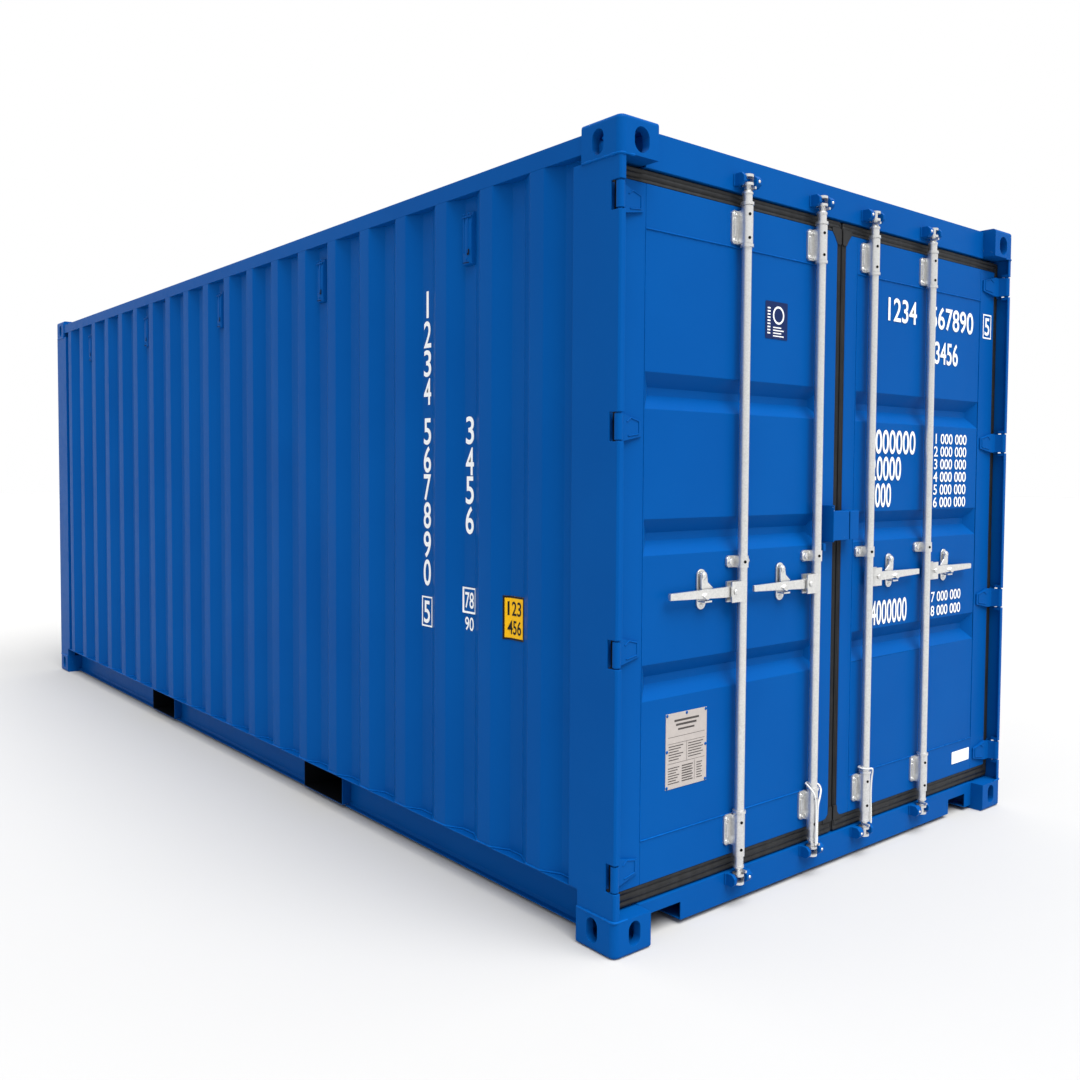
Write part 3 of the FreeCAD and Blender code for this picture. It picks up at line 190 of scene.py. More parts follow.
def finish_mesh(name, points, faces, finish, body, sharp=32, stands_for=(), bevel=0.0):
    """Makes a piece from points and faces: merged, faced outwards, smooth but for its sharp edges."""
    mesh = bpy.data.meshes.new(name)
    mesh.from_pydata(np.asarray(points).reshape(-1, 3).tolist(), [], [list(face) for face in faces])
    shell = bmesh.new()
    shell.from_mesh(mesh)
    bmesh.ops.remove_doubles(shell, verts=shell.verts, dist=1e-6)
    bmesh.ops.recalc_face_normals(shell, faces=shell.faces)
    shell.to_mesh(mesh)
    shell.free()
    mesh.shade_smooth()
    mesh.set_sharp_from_angle(angle=math.radians(sharp))
    piece = bpy.data.objects.new(name, mesh)
    bpy.context.scene.collection.objects.link(piece)
    mesh.materials.append(bpy.data.materials[finish])
    if bevel:
        round_edges(piece, bevel)
    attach(piece, body)
    if stands_for:
        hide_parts(*stands_for)
    return piece


def gathered(*parts):
    """Joins (points, faces) pairs into one, moving each one's face numbers past the points before it."""
    points, faces, count = [], [], 0
    for part_points, part_faces in parts:
        part_points = np.asarray(part_points).reshape(-1, 3)
        points.append(part_points)
        faces += [[index + count for index in face] for face in part_faces]
        count += len(part_points)
    return np.concatenate(points), faces


def bar_of(outline, low, high, axis=2):
    """A closed outline carried straight from low to high along an axis, with a face at each end."""
    outline = np.asarray(outline, float)
    others = [k for k in range(3) if k != axis]
    points = np.zeros((2, len(outline), 3))
    points[:, :, others[0]] = outline[:, 0]
    points[:, :, others[1]] = outline[:, 1]
    points[0, :, axis], points[1, :, axis] = low, high
    count = len(outline)
    faces = grid_faces(2, count, wrap_columns=True).tolist()
    return points, faces + [list(range(count)), list(range(count, 2 * count))]


def standing_sheet(outer, inner, low, high):
    """A sheet standing from low to high: its section's four corners carried along two matching lines."""
    rows = [np.column_stack([line, np.full(len(line), z)])
            for line, z in ((outer, low), (outer, high), (inner, high), (inner, low))]
    count = len(outer)
    ends = [[k, k + count, k + 2 * count, k + 3 * count] for k in (0, count - 1)]
    return np.stack(rows), grid_faces(4, count, wrap_rows=True).tolist() + ends


def turned(profile, centre, axis=2, sides=24):
    """A profile of (radius, height) pairs turned about an axis: radius times cosine and sine."""
    profile = np.asarray(profile, float)
    angle = np.linspace(0, 2 * math.pi, sides, endpoint=False)
    ring = np.stack([np.cos(angle), np.sin(angle)], -1)
    others = [k for k in range(3) if k != axis]
    points = np.zeros((len(profile), sides, 3))
    points[:, :, others[0]] = profile[:, :1] * ring[None, :, 0]
    points[:, :, others[1]] = profile[:, :1] * ring[None, :, 1]
    points[:, :, axis] = profile[:, 1:]
    faces = grid_faces(len(profile), sides, wrap_columns=True).tolist()
    ends = [list(range(sides)), list(range((len(profile) - 1) * sides, len(profile) * sides))]
    ends = [end for end, row in zip(ends, (profile[0], profile[-1])) if row[0] > 1e-9]
    return points + np.asarray(centre, float), faces + ends


def rectangle(low, high):
    """The four corners between two opposite ones, in order."""
    (x0, y0), (x1, y1) = low, high
    return np.array([(x0, y0), (x1, y0), (x1, y1), (x0, y1)], float)


def one_face(points):
    """A single flat face through the points."""
    return points, [list(range(len(points)))]


def carried(section, path, up, closed=False, scale=None):
    """A closed section carried along a path: each point is the path's plus section times its side and up.

    The side is the path's direction crossed with up. scale may grow or shrink each step's section.
    """
    path, section = np.asarray(path, float), np.asarray(section, float)
    if closed:
        direction = np.roll(path, -1, 0) - np.roll(path, 1, 0)
    else:
        direction = np.gradient(path, axis=0)
    direction /= np.linalg.norm(direction, axis=1, keepdims=True)
    up = np.broadcast_to(np.asarray(up, float), path.shape)
    side = np.cross(direction, up)
    side /= np.linalg.norm(side, axis=1, keepdims=True)
    up = np.cross(side, direction)
    grow = np.ones(len(path)) if scale is None else np.asarray(scale)
    points = (path[:, None] + section[None, :, :1] * side[:, None] * grow[:, None, None]
              + section[None, :, 1:] * up[:, None] * grow[:, None, None])
    count = len(section)
    faces = grid_faces(len(path), count, wrap_rows=closed, wrap_columns=True).tolist()
    if not closed:
        last = (len(path) - 1) * count
        faces += [list(range(count)), list(range(last, last + count))]
    return points, faces


def circle(radius, sides=8):
    """A closed round section: radius times cosine and sine of evenly spaced angles."""
    angle = np.linspace(0, 2 * math.pi, sides, endpoint=False)
    return np.stack([np.cos(angle), np.sin(angle)], -1) * radius


def weld(path, radius, up, closed=False, seed=1):
    """A weld bead: a round section whose radius swells and shrinks by about a fifth along its path.

    It is 1 plus 0.12 times the sine of the length over 6 mm and 0.1 times the sine of the length over 17 mm.
    """
    path = np.asarray(path, float)
    steps = np.concatenate([[0], np.cumsum(np.linalg.norm(np.diff(path, axis=0), axis=1))])
    ripple = 1 + 0.12 * np.sin(steps / 0.006 + seed) + 0.1 * np.sin(steps / 0.017 + 2 * seed)
    return carried(circle(radius, 7), path, up, closed, ripple)


def dense(points, spacing):
    """Points at even spacing along straight runs between the given ones."""
    points = np.asarray(points, float)
    lengths = np.concatenate([[0], np.cumsum(np.linalg.norm(np.diff(points, axis=0), axis=1))])
    count = max(2, int(lengths[-1] / spacing) + 1)
    at = np.linspace(0, lengths[-1], count)
    return np.stack([np.interp(at, lengths, points[:, k]) for k in range(points.shape[1])], -1)


def bolt(centre, radius, height, axis=1, outwards=-1):
    """A six-sided head with a rounded top, on a washer: two profiles turned about the bolt's axis."""
    rise = outwards * height
    rim = radius * 1.45
    washer = turned([(rim, 0), (rim, rise * 0.25), (radius, rise * 0.3)], centre, axis, 20)
    crown = [(radius, rise * 0.25), (radius, rise * 0.9), (radius * 0.86, rise), (0, rise)]
    return gathered(washer, turned(crown, centre, axis, 6))


def dome(centre, radius, height, axis=1, outwards=-1):
    """A rivet's head: the radius falls as the cosine while the height rises as the sine."""
    angle = np.linspace(0, math.pi / 2, 6)
    profile = np.stack([radius * np.cos(angle), outwards * height * np.sin(angle)], -1)
    return turned(profile, centre, axis, 20)


def cleaned(node):
    """A copy of a frame node's mesh with its triangles merged into whole faces."""
    mesh = frame["nodes"][node].data.copy()
    shell = bmesh.new()
    shell.from_mesh(mesh)
    bmesh.ops.remove_doubles(shell, verts=shell.verts, dist=2e-6)
    bmesh.ops.dissolve_limit(
        shell, angle_limit=math.radians(1.0), verts=shell.verts, edges=shell.edges, delimit=set()
    )
    shell.to_mesh(mesh)
    shell.free()
    mesh.materials.clear()
    if "custom_normal" in mesh.attributes:
        mesh.attributes.remove(mesh.attributes["custom_normal"])
    return mesh


def round_edges(piece, width, segments=2, angle=30):
    """Rounds a piece's sharp edges and keeps its flats flat."""
    bevel = piece.modifiers.new("Rounded edges", "BEVEL")
    bevel.width = width
    bevel.segments = segments
    bevel.limit_method = "ANGLE"
    bevel.angle_limit = math.radians(angle)
    bevel.use_clamp_overlap = True
    bevel.harden_normals = True
    bevel.miter_outer = "MITER_ARC"


def soften(node, finish, width, segments=2):
    """The node again, with rounded edges and its finish."""
    mesh = cleaned(node)
    mesh.name = node + "_steel"
    mesh.shade_smooth()
    mesh.set_sharp_from_angle(angle=math.radians(32))
    mesh.materials.append(bpy.data.materials[finish])
    piece = bpy.data.objects.new(node + "_steel", mesh)
    bpy.context.scene.collection.objects.link(piece)
    round_edges(piece, width, segments)
    owners = {name: body for body, names in frame["record"]["behaviour"]["bodies"].items() for name in names}
    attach(piece, owners[node])
    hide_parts(node)
    return piece


# ---------------------------------------------------------------- materials


def socket(tree, name, kind, way="INPUT", value=None):
    """A named input or output of a node group, with its default value."""
    made = tree.interface.new_socket(name, in_out=way, socket_type=kind)
    if value is not None:
        made.default_value = value
    return made


def node(tree, kind, **settings):
    """A new shader node with its settings."""
    made = tree.nodes.new(kind)
    for key, value in settings.items():
        setattr(made, key, value)
    return made


def math_node(tree, how, first, second):
    """The output of a sum on two values, each a number or another node's output."""
    made = node(tree, "ShaderNodeMath", operation=how)
    for slot, value in zip(made.inputs, (first, second)):
        if isinstance(value, (int, float)):
            slot.default_value = value
        else:
            tree.links.new(value, slot)
    return made.outputs[0]


def noise(tree, where, scale, detail=4.0, rough=0.55, stretch=None):
    """Noise at a scale, drawn out along an axis where stretch is given."""
    made = node(tree, "ShaderNodeTexNoise")
    made.inputs["Scale"].default_value = scale
    made.inputs["Detail"].default_value = detail
    made.inputs["Roughness"].default_value = rough
    if stretch:
        mapping = node(tree, "ShaderNodeMapping")
        mapping.inputs["Scale"].default_value = stretch
        tree.links.new(where, mapping.inputs["Vector"])
        where = mapping.outputs["Vector"]
    tree.links.new(where, made.inputs["Vector"])
    return made.outputs["Fac"]


def ramp(tree, value, low, high):
    """A value brought to 0 at low and to 1 at high, and held beyond them."""
    made = node(tree, "ShaderNodeMapRange")
    made.inputs["From Min"].default_value = low
    made.inputs["From Max"].default_value = high
    tree.links.new(value, made.inputs["Value"])
    return made.outputs["Result"]


def wear_group():
    """Wear: broad unevenness, fine orange peel and a few small chips, as masks and a height."""
    tree = bpy.data.node_groups.new("Paint wear", "ShaderNodeTree")
    socket(tree, "Vector", "NodeSocketVector")
    socket(tree, "Chips", "NodeSocketFloat", value=0.2)
    for name in ("Unevenness", "Chip mask", "Height", "Dust"):
        socket(tree, name, "NodeSocketFloat", "OUTPUT")
    start, end = node(tree, "NodeGroupInput"), node(tree, "NodeGroupOutput")
    where = start.outputs["Vector"]
    broad = noise(tree, where, 1.7, 3, 0.5)
    peel = noise(tree, where, 260, 2, 0.5)
    sheet_dents = noise(tree, where, 3.2, 2, 0.4)
    specks = noise(tree, where, 95, 3, 0.6)
    patches = noise(tree, where, 9, 3, 0.6)
    level = math_node(tree, "SUBTRACT", 0.92, math_node(tree, "MULTIPLY", start.outputs["Chips"], 0.24))
    spots = math_node(tree, "MULTIPLY", specks, math_node(tree, "ADD", patches, 0.42))
    bare = math_node(tree, "GREATER_THAN", spots, level)
    dents = math_node(tree, "MULTIPLY", sheet_dents, 3.0)
    height = math_node(tree, "ADD", math_node(tree, "MULTIPLY", peel, 0.05), dents)
    tree.links.new(broad, end.inputs["Unevenness"])
    tree.links.new(bare, end.inputs["Chip mask"])
    tree.links.new(height, end.inputs["Height"])
    tree.links.new(ramp(tree, noise(tree, where, 22, 5, 0.65), 0.45, 0.8), end.inputs["Dust"])
    return tree


def plain_material(name, rough, metal=0.0, gloss=0.5):
    """A material with its Principled BSDF, ready for its own nodes."""
    made = bpy.data.materials.new(name)
    made.use_nodes = True
    tree = made.node_tree
    shader = tree.nodes["Principled BSDF"]
    shader.inputs["Roughness"].default_value = rough
    shader.inputs["Metallic"].default_value = metal
    shader.inputs["Specular IOR Level"].default_value = gloss
    where = node(tree, "ShaderNodeTexCoord").outputs["Object"]
    return made, tree, shader, where


def mix_colour(tree, factor, first, second):
    """Two colours mixed by a factor, each a plain colour or another node's output."""
    made = node(tree, "ShaderNodeMix", data_type="RGBA")
    tree.links.new(factor, made.inputs["Factor"])
    for slot, value in ((made.inputs["A"], first), (made.inputs["B"], second)):
        if isinstance(value, bpy.types.NodeSocket):
            tree.links.new(value, slot)
        else:
            slot.default_value = value
    return made.outputs["Result"]


def bump(tree, shader, height, distance, strength=0.4):
    """Feeds a height to the shader's normal."""
    made = node(tree, "ShaderNodeBump")
    made.inputs["Strength"].default_value = strength
    made.inputs["Distance"].default_value = distance
    tree.links.new(height, made.inputs["Height"])
    tree.links.new(made.outputs["Normal"], shader.inputs["Normal"])


def paint(name, blue, shade, wear, chips, rough=0.36, dents=0.0006):
    """Satin paint on steel: two close blues mixed by a broad unevenness, with small pale chips."""
    made, tree, shader, where = plain_material(name, rough, gloss=0.02)
    worn = node(tree, "ShaderNodeGroup", node_tree=wear)
    tree.links.new(where, worn.inputs["Vector"])
    worn.inputs["Chips"].default_value = chips
    base = mix_colour(tree, ramp(tree, worn.outputs["Unevenness"], 0.35, 0.65), blue, shade)
    if chips > 0:
        base = mix_colour(tree, worn.outputs["Chip mask"], base, (0.42, 0.50, 0.60, 1))
    tree.links.new(base, shader.inputs["Base Color"])
    gloss = math_node(tree, "ADD", math_node(tree, "MULTIPLY", worn.outputs["Dust"], 0.12), rough - 0.03)
    tree.links.new(gloss, shader.inputs["Roughness"])
    bump(tree, shader, worn.outputs["Height"], dents, 0.35)
    return made


def pocket_paint_with_painted_shade(blue, shade, wear):
    """Paint that turns near black inside the fork pockets: painted shade for their dark insides.

    A place is inside where its Y is within half the opening's width of plus or minus 1.025 m and its Z is
    within half the opening's height of 0.080 m.
    """
    made = paint("pocket_blue_painted_shade", blue, shade, wear, 0.0)
    tree = made.node_tree
    base = tree.nodes["Principled BSDF"].inputs["Base Color"]
    where = node(tree, "ShaderNodeSeparateXYZ")
    tree.links.new(node(tree, "ShaderNodeTexCoord").outputs["Object"], where.inputs[0])
    along = math_node(tree, "SUBTRACT", math_node(tree, "ABSOLUTE", where.outputs["Y"], 0), 1.025)
    across = ramp(tree, math_node(tree, "ABSOLUTE", along, 0), 0.1812, 0.1820)
    upward = math_node(tree, "SUBTRACT", where.outputs["Z"], 0.080)
    upward = ramp(tree, math_node(tree, "ABSOLUTE", upward, 0), 0.0585, 0.0595)
    outer = math_node(tree, "MAXIMUM", across, upward)
    # painted shade: near black inside each pocket, the plain paint outside it
    tree.links.new(mix_colour(tree, outer, (0.006, 0.007, 0.009, 1), base.links[0].from_socket), base)
    return made


def zinc(name, colour, rough):
    """Galvanised steel: mottled grey crystals with small darker specks."""
    made, tree, shader, where = plain_material(name, rough, metal=0.9)
    crystals = node(tree, "ShaderNodeTexVoronoi")
    crystals.inputs["Scale"].default_value = 170
    tree.links.new(where, crystals.inputs["Vector"])
    tone = math_node(tree, "ADD", math_node(tree, "MULTIPLY", crystals.outputs["Distance"], 0.5),
                     math_node(tree, "MULTIPLY", noise(tree, where, 60, 4), 0.7))
    darker = tuple(channel * 0.80 for channel in colour[:3]) + (1,)
    mottled = mix_colour(tree, ramp(tree, tone, 0.35, 0.95), colour, darker)
    tree.links.new(mottled, shader.inputs["Base Color"])
    tree.links.new(math_node(tree, "ADD", math_node(tree, "MULTIPLY", tone, 0.25), rough - 0.1),
                   shader.inputs["Roughness"])
    bump(tree, shader, tone, 0.0004, 0.3)
    return made


def rubber(name, colour):
    """Black rubber, a little grey with dust along its ribs."""
    made, tree, shader, where = plain_material(name, 0.55, gloss=0.25)
    grime = ramp(tree, noise(tree, where, 30, 5, 0.65, (1, 1, 0.25)), 0.4, 0.75)
    dusty = tuple(channel * 1.8 + 0.004 for channel in colour[:3]) + (1,)
    tree.links.new(mix_colour(tree, grime, colour, dusty), shader.inputs["Base Color"])
    bump(tree, shader, noise(tree, where, 420, 2), 0.0004, 0.4)
    return made


def plywood(name):
    """Sealed hardwood boards that run along the container: streaked grain and darker board joints."""
    made, tree, shader, where = plain_material(name, 0.55)
    grain = noise(tree, where, 9, 6, 0.6, (7, 0.35, 1))
    fine = noise(tree, where, 60, 3, 0.6, (6, 0.25, 1))
    bands = node(tree, "ShaderNodeTexBrick", offset=0.5)
    bands.inputs["Scale"].default_value = 1
    bands.inputs["Brick Width"].default_value = 2.4
    bands.inputs["Row Height"].default_value = 0.56
    bands.inputs["Mortar Size"].default_value = 0.003
    turn = node(tree, "ShaderNodeMapping")
    turn.inputs["Rotation"].default_value = (0, 0, math.radians(90))
    tree.links.new(where, turn.inputs["Vector"])
    tree.links.new(turn.outputs["Vector"], bands.inputs["Vector"])
    fine = math_node(tree, "MULTIPLY", fine, 0.35)
    streak = math_node(tree, "ADD", math_node(tree, "MULTIPLY", grain, 0.65), fine)
    joint = bands.outputs["Fac"]
    wood = mix_colour(tree, ramp(tree, streak, 0.3, 0.7), (0.20, 0.095, 0.045, 1), (0.36, 0.19, 0.09, 1))
    tree.links.new(mix_colour(tree, joint, wood, (0.03, 0.018, 0.01, 1)), shader.inputs["Base Color"])
    groove = math_node(tree, "MULTIPLY", joint, 2.0)
    bump(tree, shader, math_node(tree, "SUBTRACT", streak, groove), 0.001, 0.5)
    return made


def enamel(name, colour, rough=0.4, grit=0.08):
    """A flat printed film or enamel, faintly uneven."""
    made, tree, shader, where = plain_material(name, rough, gloss=0.12)
    faded = tuple(channel * (1 - grit) for channel in colour[:3]) + (1,)
    tree.links.new(mix_colour(tree, noise(tree, where, 45, 4), colour, faded), shader.inputs["Base Color"])
    bump(tree, shader, noise(tree, where, 300, 2), 0.0002, 0.2)
    return made


def rope_fibre(name):
    """White twisted rope, with strands shown by its own mesh and fibres by a fine bump."""
    made, tree, shader, where = plain_material(name, 0.75)
    fuzz = noise(tree, where, 900, 3)
    shaded = mix_colour(tree, fuzz, (0.86, 0.86, 0.84, 1), (0.66, 0.66, 0.64, 1))
    tree.links.new(shaded, shader.inputs["Base Color"])
    bump(tree, shader, fuzz, 0.0006, 0.5)
    return made


class CONTAINER_OT_finishes(bpy.types.Operator):
    """Makes every finish: paint, zinc, rubber, plywood, print and rope, with painted shade for pockets and
    holes and a painted highlight on beads
    """

    bl_idname = "container.finishes"
    bl_label = "Make finishes"

    def execute(self, context):
        paints, gear = context.scene.container_paint, context.scene.container_gear
        blue, shade = tuple(paints.blue), tuple(paints.shade)
        wear = wear_group()
        paint("gloss_blue", blue, shade, wear, 0.0)
        paint("worn_blue", blue, shade, wear, 0.72)
        # weld beads: a blue 1.25 times lighter than the paint, a painted highlight along each bead
        paint("bead_blue", tuple(min(1, c * 1.25) for c in blue[:3]) + (1,), blue, wear, 0.25, 0.28, 0.0003)
        paint("waxy_coating", (0.012, 0.014, 0.018, 1), (0.03, 0.032, 0.036, 1), wear, 0.0, 0.6)
        pocket_paint_with_painted_shade(blue, shade, wear)
        zinc("zinc_steel", tuple(gear.zinc), 0.33)
        rubber("ribbed_rubber", tuple(gear.rubber))
        plywood("sealed_plywood")
        enamel("white_print", (0.86, 0.88, 0.90, 1), 0.45)
        enamel("yellow_print", (0.86, 0.47, 0.006, 1), 0.42)
        enamel("black_print", (0.012, 0.011, 0.010, 1), 0.45)
        enamel("dark_blue_print", (0.003, 0.016, 0.085, 1), 0.4)
        enamel("satin_plate", (0.46, 0.42, 0.40, 1), 0.38, 0.2)
        enamel("plate_print", (0.07, 0.062, 0.06, 1), 0.5, 0.2)
        # near black: painted shade inside holes and openings
        enamel("hole_dark", (0.004, 0.004, 0.005, 1), 0.8)
        rope_fibre("white_rope")
        return {"FINISHED"}


# ---------------------------------------------------------------- walls and steelwork


def wave_line(side_wall=True):
    """The wall's outer line in millimetres, as (along, depth): flats on crests and in troughs, with slopes.

    Crests stand at first + k times the pitch; the depth is 0 on them and 1 in the troughs.
    """
    if side_wall:
        start, end, first, pitch, crest, trough = 220, 5838, FIRST_CREST, CREST_PITCH, 72, 70
    else:
        start, end, pitch, crest, trough = -1057, 1057, 250, 72, 70
        first = -1000 + pitch / 2
    crests = np.arange(first, end - crest / 2, pitch)
    slope = (pitch - crest - trough) / 2
    across = np.array([-crest / 2 - slope, -crest / 2, crest / 2, crest / 2 + slope])
    along = (crests[:, None] + across).ravel()
    depth = np.tile([1.0, 0.0, 0.0, 1.0], len(crests))
    keep = (along > start) & (along < end)
    along = np.concatenate([[start], along[keep], [end]])
    depth = np.concatenate([[1.0], depth[keep], [1.0]])
    return along, depth


def wall_sheet(side_wall, bend):
    """The wave with rounded folds, then the same line moved inwards by the sheet's thickness."""
    along, depth = wave_line(side_wall)
    inset, wave = (WALL_INSET, WAVE_DEPTH) if side_wall else (8, 45)
    line = rounded(np.stack([along, inset + wave * depth], -1), bend * 1000, 6, closed=False)
    line = line[np.append(True, np.linalg.norm(np.diff(line, axis=0), axis=1) > 1e-6)]
    direction = np.gradient(line, axis=0)
    direction /= np.linalg.norm(direction, axis=1, keepdims=True)
    return line, line + np.stack([-direction[:, 1], direction[:, 0]], -1) * 1.6


def pressed_line(start, end, ramps, radius):
    """Stations and heights of a line that rises from 0 to 1 over each ramp pair, with rounded corners."""
    corners = [(start, 0.0)]
    for foot_in, top_in, top_out, foot_out in ramps:
        corners += [(foot_in, 0.0), (top_in, 1.0), (top_out, 1.0), (foot_out, 0.0)]
    corners = np.array(corners + [(end, 0.0)]) * [1, 0.02]
    line = rounded(corners, radius, 5, closed=False)
    line = line[np.append(True, np.linalg.norm(np.diff(line, axis=0), axis=1) > 1e-7)]
    return line[:, 0], line[:, 1] / 0.02


def roof_sheet():
    """The roof's sheet: its height is the ribs' rise times the heights of the lines along and across it."""
    low, high = (np.array(corner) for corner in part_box("roof_panel"))
    sheet, foot, top, pitch = 0.002, 0.060, 0.042, 0.209
    ribs = int((high[1] - low[1] - 2 * foot) // pitch) + 1
    middles = (low[1] + high[1]) / 2 + (np.arange(ribs) - (ribs - 1) / 2) * pitch
    ramps = middles[:, None] + [-foot, -top, top, foot]
    along, rise = pressed_line(low[1], high[1], ramps, 0.02)
    reach = high[0] - 0.080
    across, swell = pressed_line(low[0], high[0], [(-reach, 0.018 - reach, reach - 0.018, reach)], 0.02)
    upper = low[2] + sheet + (high[2] - low[2] - sheet) * rise[:, None] * swell[None, :]
    grid = np.stack(np.broadcast_arrays(across[None, :], along[:, None], upper), -1)
    ring = np.concatenate([grid, grid[:, ::-1] - [0, 0, sheet]], 1)
    rows, columns = ring.shape[:2]
    ends = [list(range(columns)), list(range((rows - 1) * columns, rows * columns))]
    return ring, grid_faces(rows, columns, wrap_columns=True).tolist() + ends


class CONTAINER_OT_walls(bpy.types.Operator):
    """Makes the pressed side walls, front wall and roof with rounded folds, and their weld beads"""

    bl_idname = "container.walls"
    bl_label = "Make walls"

    def execute(self, context):
        bend = context.scene.container_paint.bend
        low, high = (corner[2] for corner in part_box("left_side_wall"))
        foot, top, bead = low + 0.0004, high - 0.0004, low + 0.003
        line, inner = wall_sheet(True, bend)
        for side, name in ((-1, "left"), (1, "right")):
            faces = [place(row[:, 1], row[:, 0], 0, side)[:, :2] for row in (line, inner)]
            wall = standing_sheet(*faces, foot, top)
            finish_mesh(name + "_wall_sheet", *wall, "gloss_blue", "frame", 25, (name + "_side_wall",))
            path = dense(place(line[:, 1] - 0.5, line[:, 0], bead * 1000, side), 0.004)
            finish_mesh(name + "_wall_bead", *weld(path, 0.0035, (0, 0, 1)), "bead_blue", "frame", 60)
        line, inner = wall_sheet(False, bend)
        faces = [np.stack([row[:, 0] / 1000, END - row[:, 1] / 1000], -1) for row in (line, inner)]
        sheet = standing_sheet(*faces, foot, top)
        finish_mesh("front_wall_sheet", *sheet, "gloss_blue", "frame", 25, ("front_wall",))
        path = np.column_stack([faces[0] + [0, 0.0005], np.full(len(line), bead)])
        finish_mesh("front_wall_bead", *weld(dense(path, 0.004), 0.0035, (0, 0, 1)), "bead_blue", "frame", 60)
        finish_mesh("roof_sheet", *roof_sheet(), "gloss_blue", "frame", 40, ("roof_panel",))
        return {"FINISHED"}


class CONTAINER_OT_steelwork(bpy.types.Operator):
    """Rounds and paints the castings, posts, beams, rails and underframe, with beads and foot plates"""

    bl_idname = "container.steelwork"
    bl_label = "Finish steelwork"

    def execute(self, context):
        edge = context.scene.container_paint.edge
        for name in frame["nodes"]:
            if "_casting_" in name:
                soften(name, "worn_blue", edge * 1.2, 3)
        soften("front_end_posts", "gloss_blue", edge * 0.35)
        for name in ("door_end_posts", "door_header", "door_sill", "front_upper_rail",
                     "front_lower_rail", "bottom_side_rails", "cam_keepers", "hinge_pins"):
            soften(name, "gloss_blue", edge * 0.6)
        soften("top_side_rails", "gloss_blue", edge * 1.4, 3)
        # the pockets' paint has painted shade inside them
        for name in ("fork_pocket_1", "fork_pocket_2"):
            soften(name, "pocket_blue_painted_shade", edge * 0.4)
        soften("cross_members", "waxy_coating", edge * 0.4)
        soften("floor_boards", "sealed_plywood", edge * 0.4)
        beads = []
        for side in (-1, 1):
            for end in (0, 1):
                for level in (118.5, 2472.5):
                    ring = np.array([(3, 177), (3, 17), (6.5, 6.5), (17, 3), (60, 3)], float)
                    spots = place(ring[:, 0], ring[:, 1] if end == 0 else LENGTH - ring[:, 1], level, side)
                    beads.append(weld(dense(spots, 0.004), 0.0042, (0, 0, 1), seed=level))
        finish_mesh("casting_beads", *gathered(*beads), "bead_blue", "frame", 60)
        feet = []
        for side in (-1, 1):
            outline = place([4.5, 53.5, 53.5, 4.5], 0, [118.5, 118.5, 174.5, 174.5], side)[:, [0, 2]]
            for start in (171.5, LENGTH - 177.5):
                feet.append(bar_of(outline, start / 1000 - END, (start + 6) / 1000 - END, 1))
        finish_mesh("post_foot_plates", *gathered(*feet), "gloss_blue", "frame")
        return {"FINISHED"}


def ventilator(middle, side):
    """One louvre cover, with a dark patch and slot painted as the shade in its openings.

    The cover's depth out of the wall at each level is the section's own depth times that level's share.
    """
    section = np.array([(41, -30), (24, -27), (20, -16), (19, 0), (20, 16), (24, 27), (41, 30)], float)
    levels = [(2258, 0.1), (2262, 0.8), (2300, 1), (2400, 1), (2428, 0.9), (2440, 0.5), (2448, 0.45)]
    grid = np.stack([place(41 - (41 - section[:, 0]) * share, middle + section[:, 1], level, side)
                     for level, share in levels])
    cover = [(grid, grid_faces(len(levels), len(section)).tolist())]
    for shift in (-11, 13):
        ridge = dense(place([19.5, 19.5], [middle + shift] * 2, [2300, 2425], side), 0.02)
        cover.append(carried(circle(0.0022, 6), ridge, (-side, 0, 0)))
    across = middle + np.array([-28, -14, 0, 14, 28])
    lip = dense(place([22, 20, 19, 20, 22], across, 2430, side), 0.01)
    cover.append(carried(circle(0.003, 6), lip, (0, 0, 1)))
    for shift, level, depth in ((-14, 2440, 21), (12, 2440, 21), (0, 2280, 22)):
        cover.append(dome(place(depth, middle + shift, level, side), 0.005, 0.005, 0, side))
    # painted shade: a flat dark patch and slot where the cover is open
    patch = rounded(rectangle((middle - 20, 2292), (middle - 6, 2314)), 5)
    slot = np.array([(-20, 2263), (20, 2266), (20, 2269), (-20, 2266)]) + [middle, 0]
    marks = [one_face(place(18.6, outline[:, 0], outline[:, 1], side)) for outline in (patch, slot)]
    return gathered(*cover), gathered(*marks)


class CONTAINER_OT_ventilators(bpy.types.Operator):
    """Makes the louvre covers near the top of the side walls"""

    bl_idname = "container.ventilators"
    bl_label = "Make ventilators"

    def execute(self, context):
        middles = FIRST_CREST + CREST_PITCH * (1.5 + 4 * np.arange(5))
        for side, name in ((-1, "left"), (1, "right")):
            covers, marks = zip(*(ventilator(middle, side) for middle in middles))
            stands_for = ("ventilators",) if side == -1 else ()
            covers = gathered(*covers)
            finish_mesh(name + "_ventilator_covers", *covers, "gloss_blue", "frame", 40, stands_for)
            # the covers' dark patches and slots are painted shade
            finish_mesh(name + "_ventilator_shade_patches", *gathered(*marks), "hole_dark", "frame")
        return {"FINISHED"}


# ---------------------------------------------------------------- doors


def seal_ring(side):
    """The seal's ribbed section carried round the leaf between its inner and outer outlines.

    Each point is inner + across times (outer - inner), at its own depth.
    """
    inner = rounded(rectangle((47, 181), (1191, 2420)), 4, 6)
    outer = rounded(rectangle((15, 126), (1214.5, 2462)), 12, 6)
    section = np.array([
        (0, 112), (0, 64), (0.05, 61), (0.16, 61.2), (0.24, 64), (0.3, 66), (0.38, 63), (0.46, 61.6),
        (0.54, 61.2), (0.62, 62.2), (0.7, 66), (0.76, 65), (0.84, 62.2), (0.95, 62.4), (1, 65), (1, 85),
        (1, 112), (0, 112),
    ])
    across, depth = section.T
    flat = inner[None] * (1 - across[:, None, None]) + outer[None] * across[:, None, None]
    points = place(flat[..., 0], np.broadcast_to(depth[:, None], flat.shape[:2]), flat[..., 1], side)
    return points, grid_faces(len(across), len(inner), wrap_rows=True, wrap_columns=True).tolist()


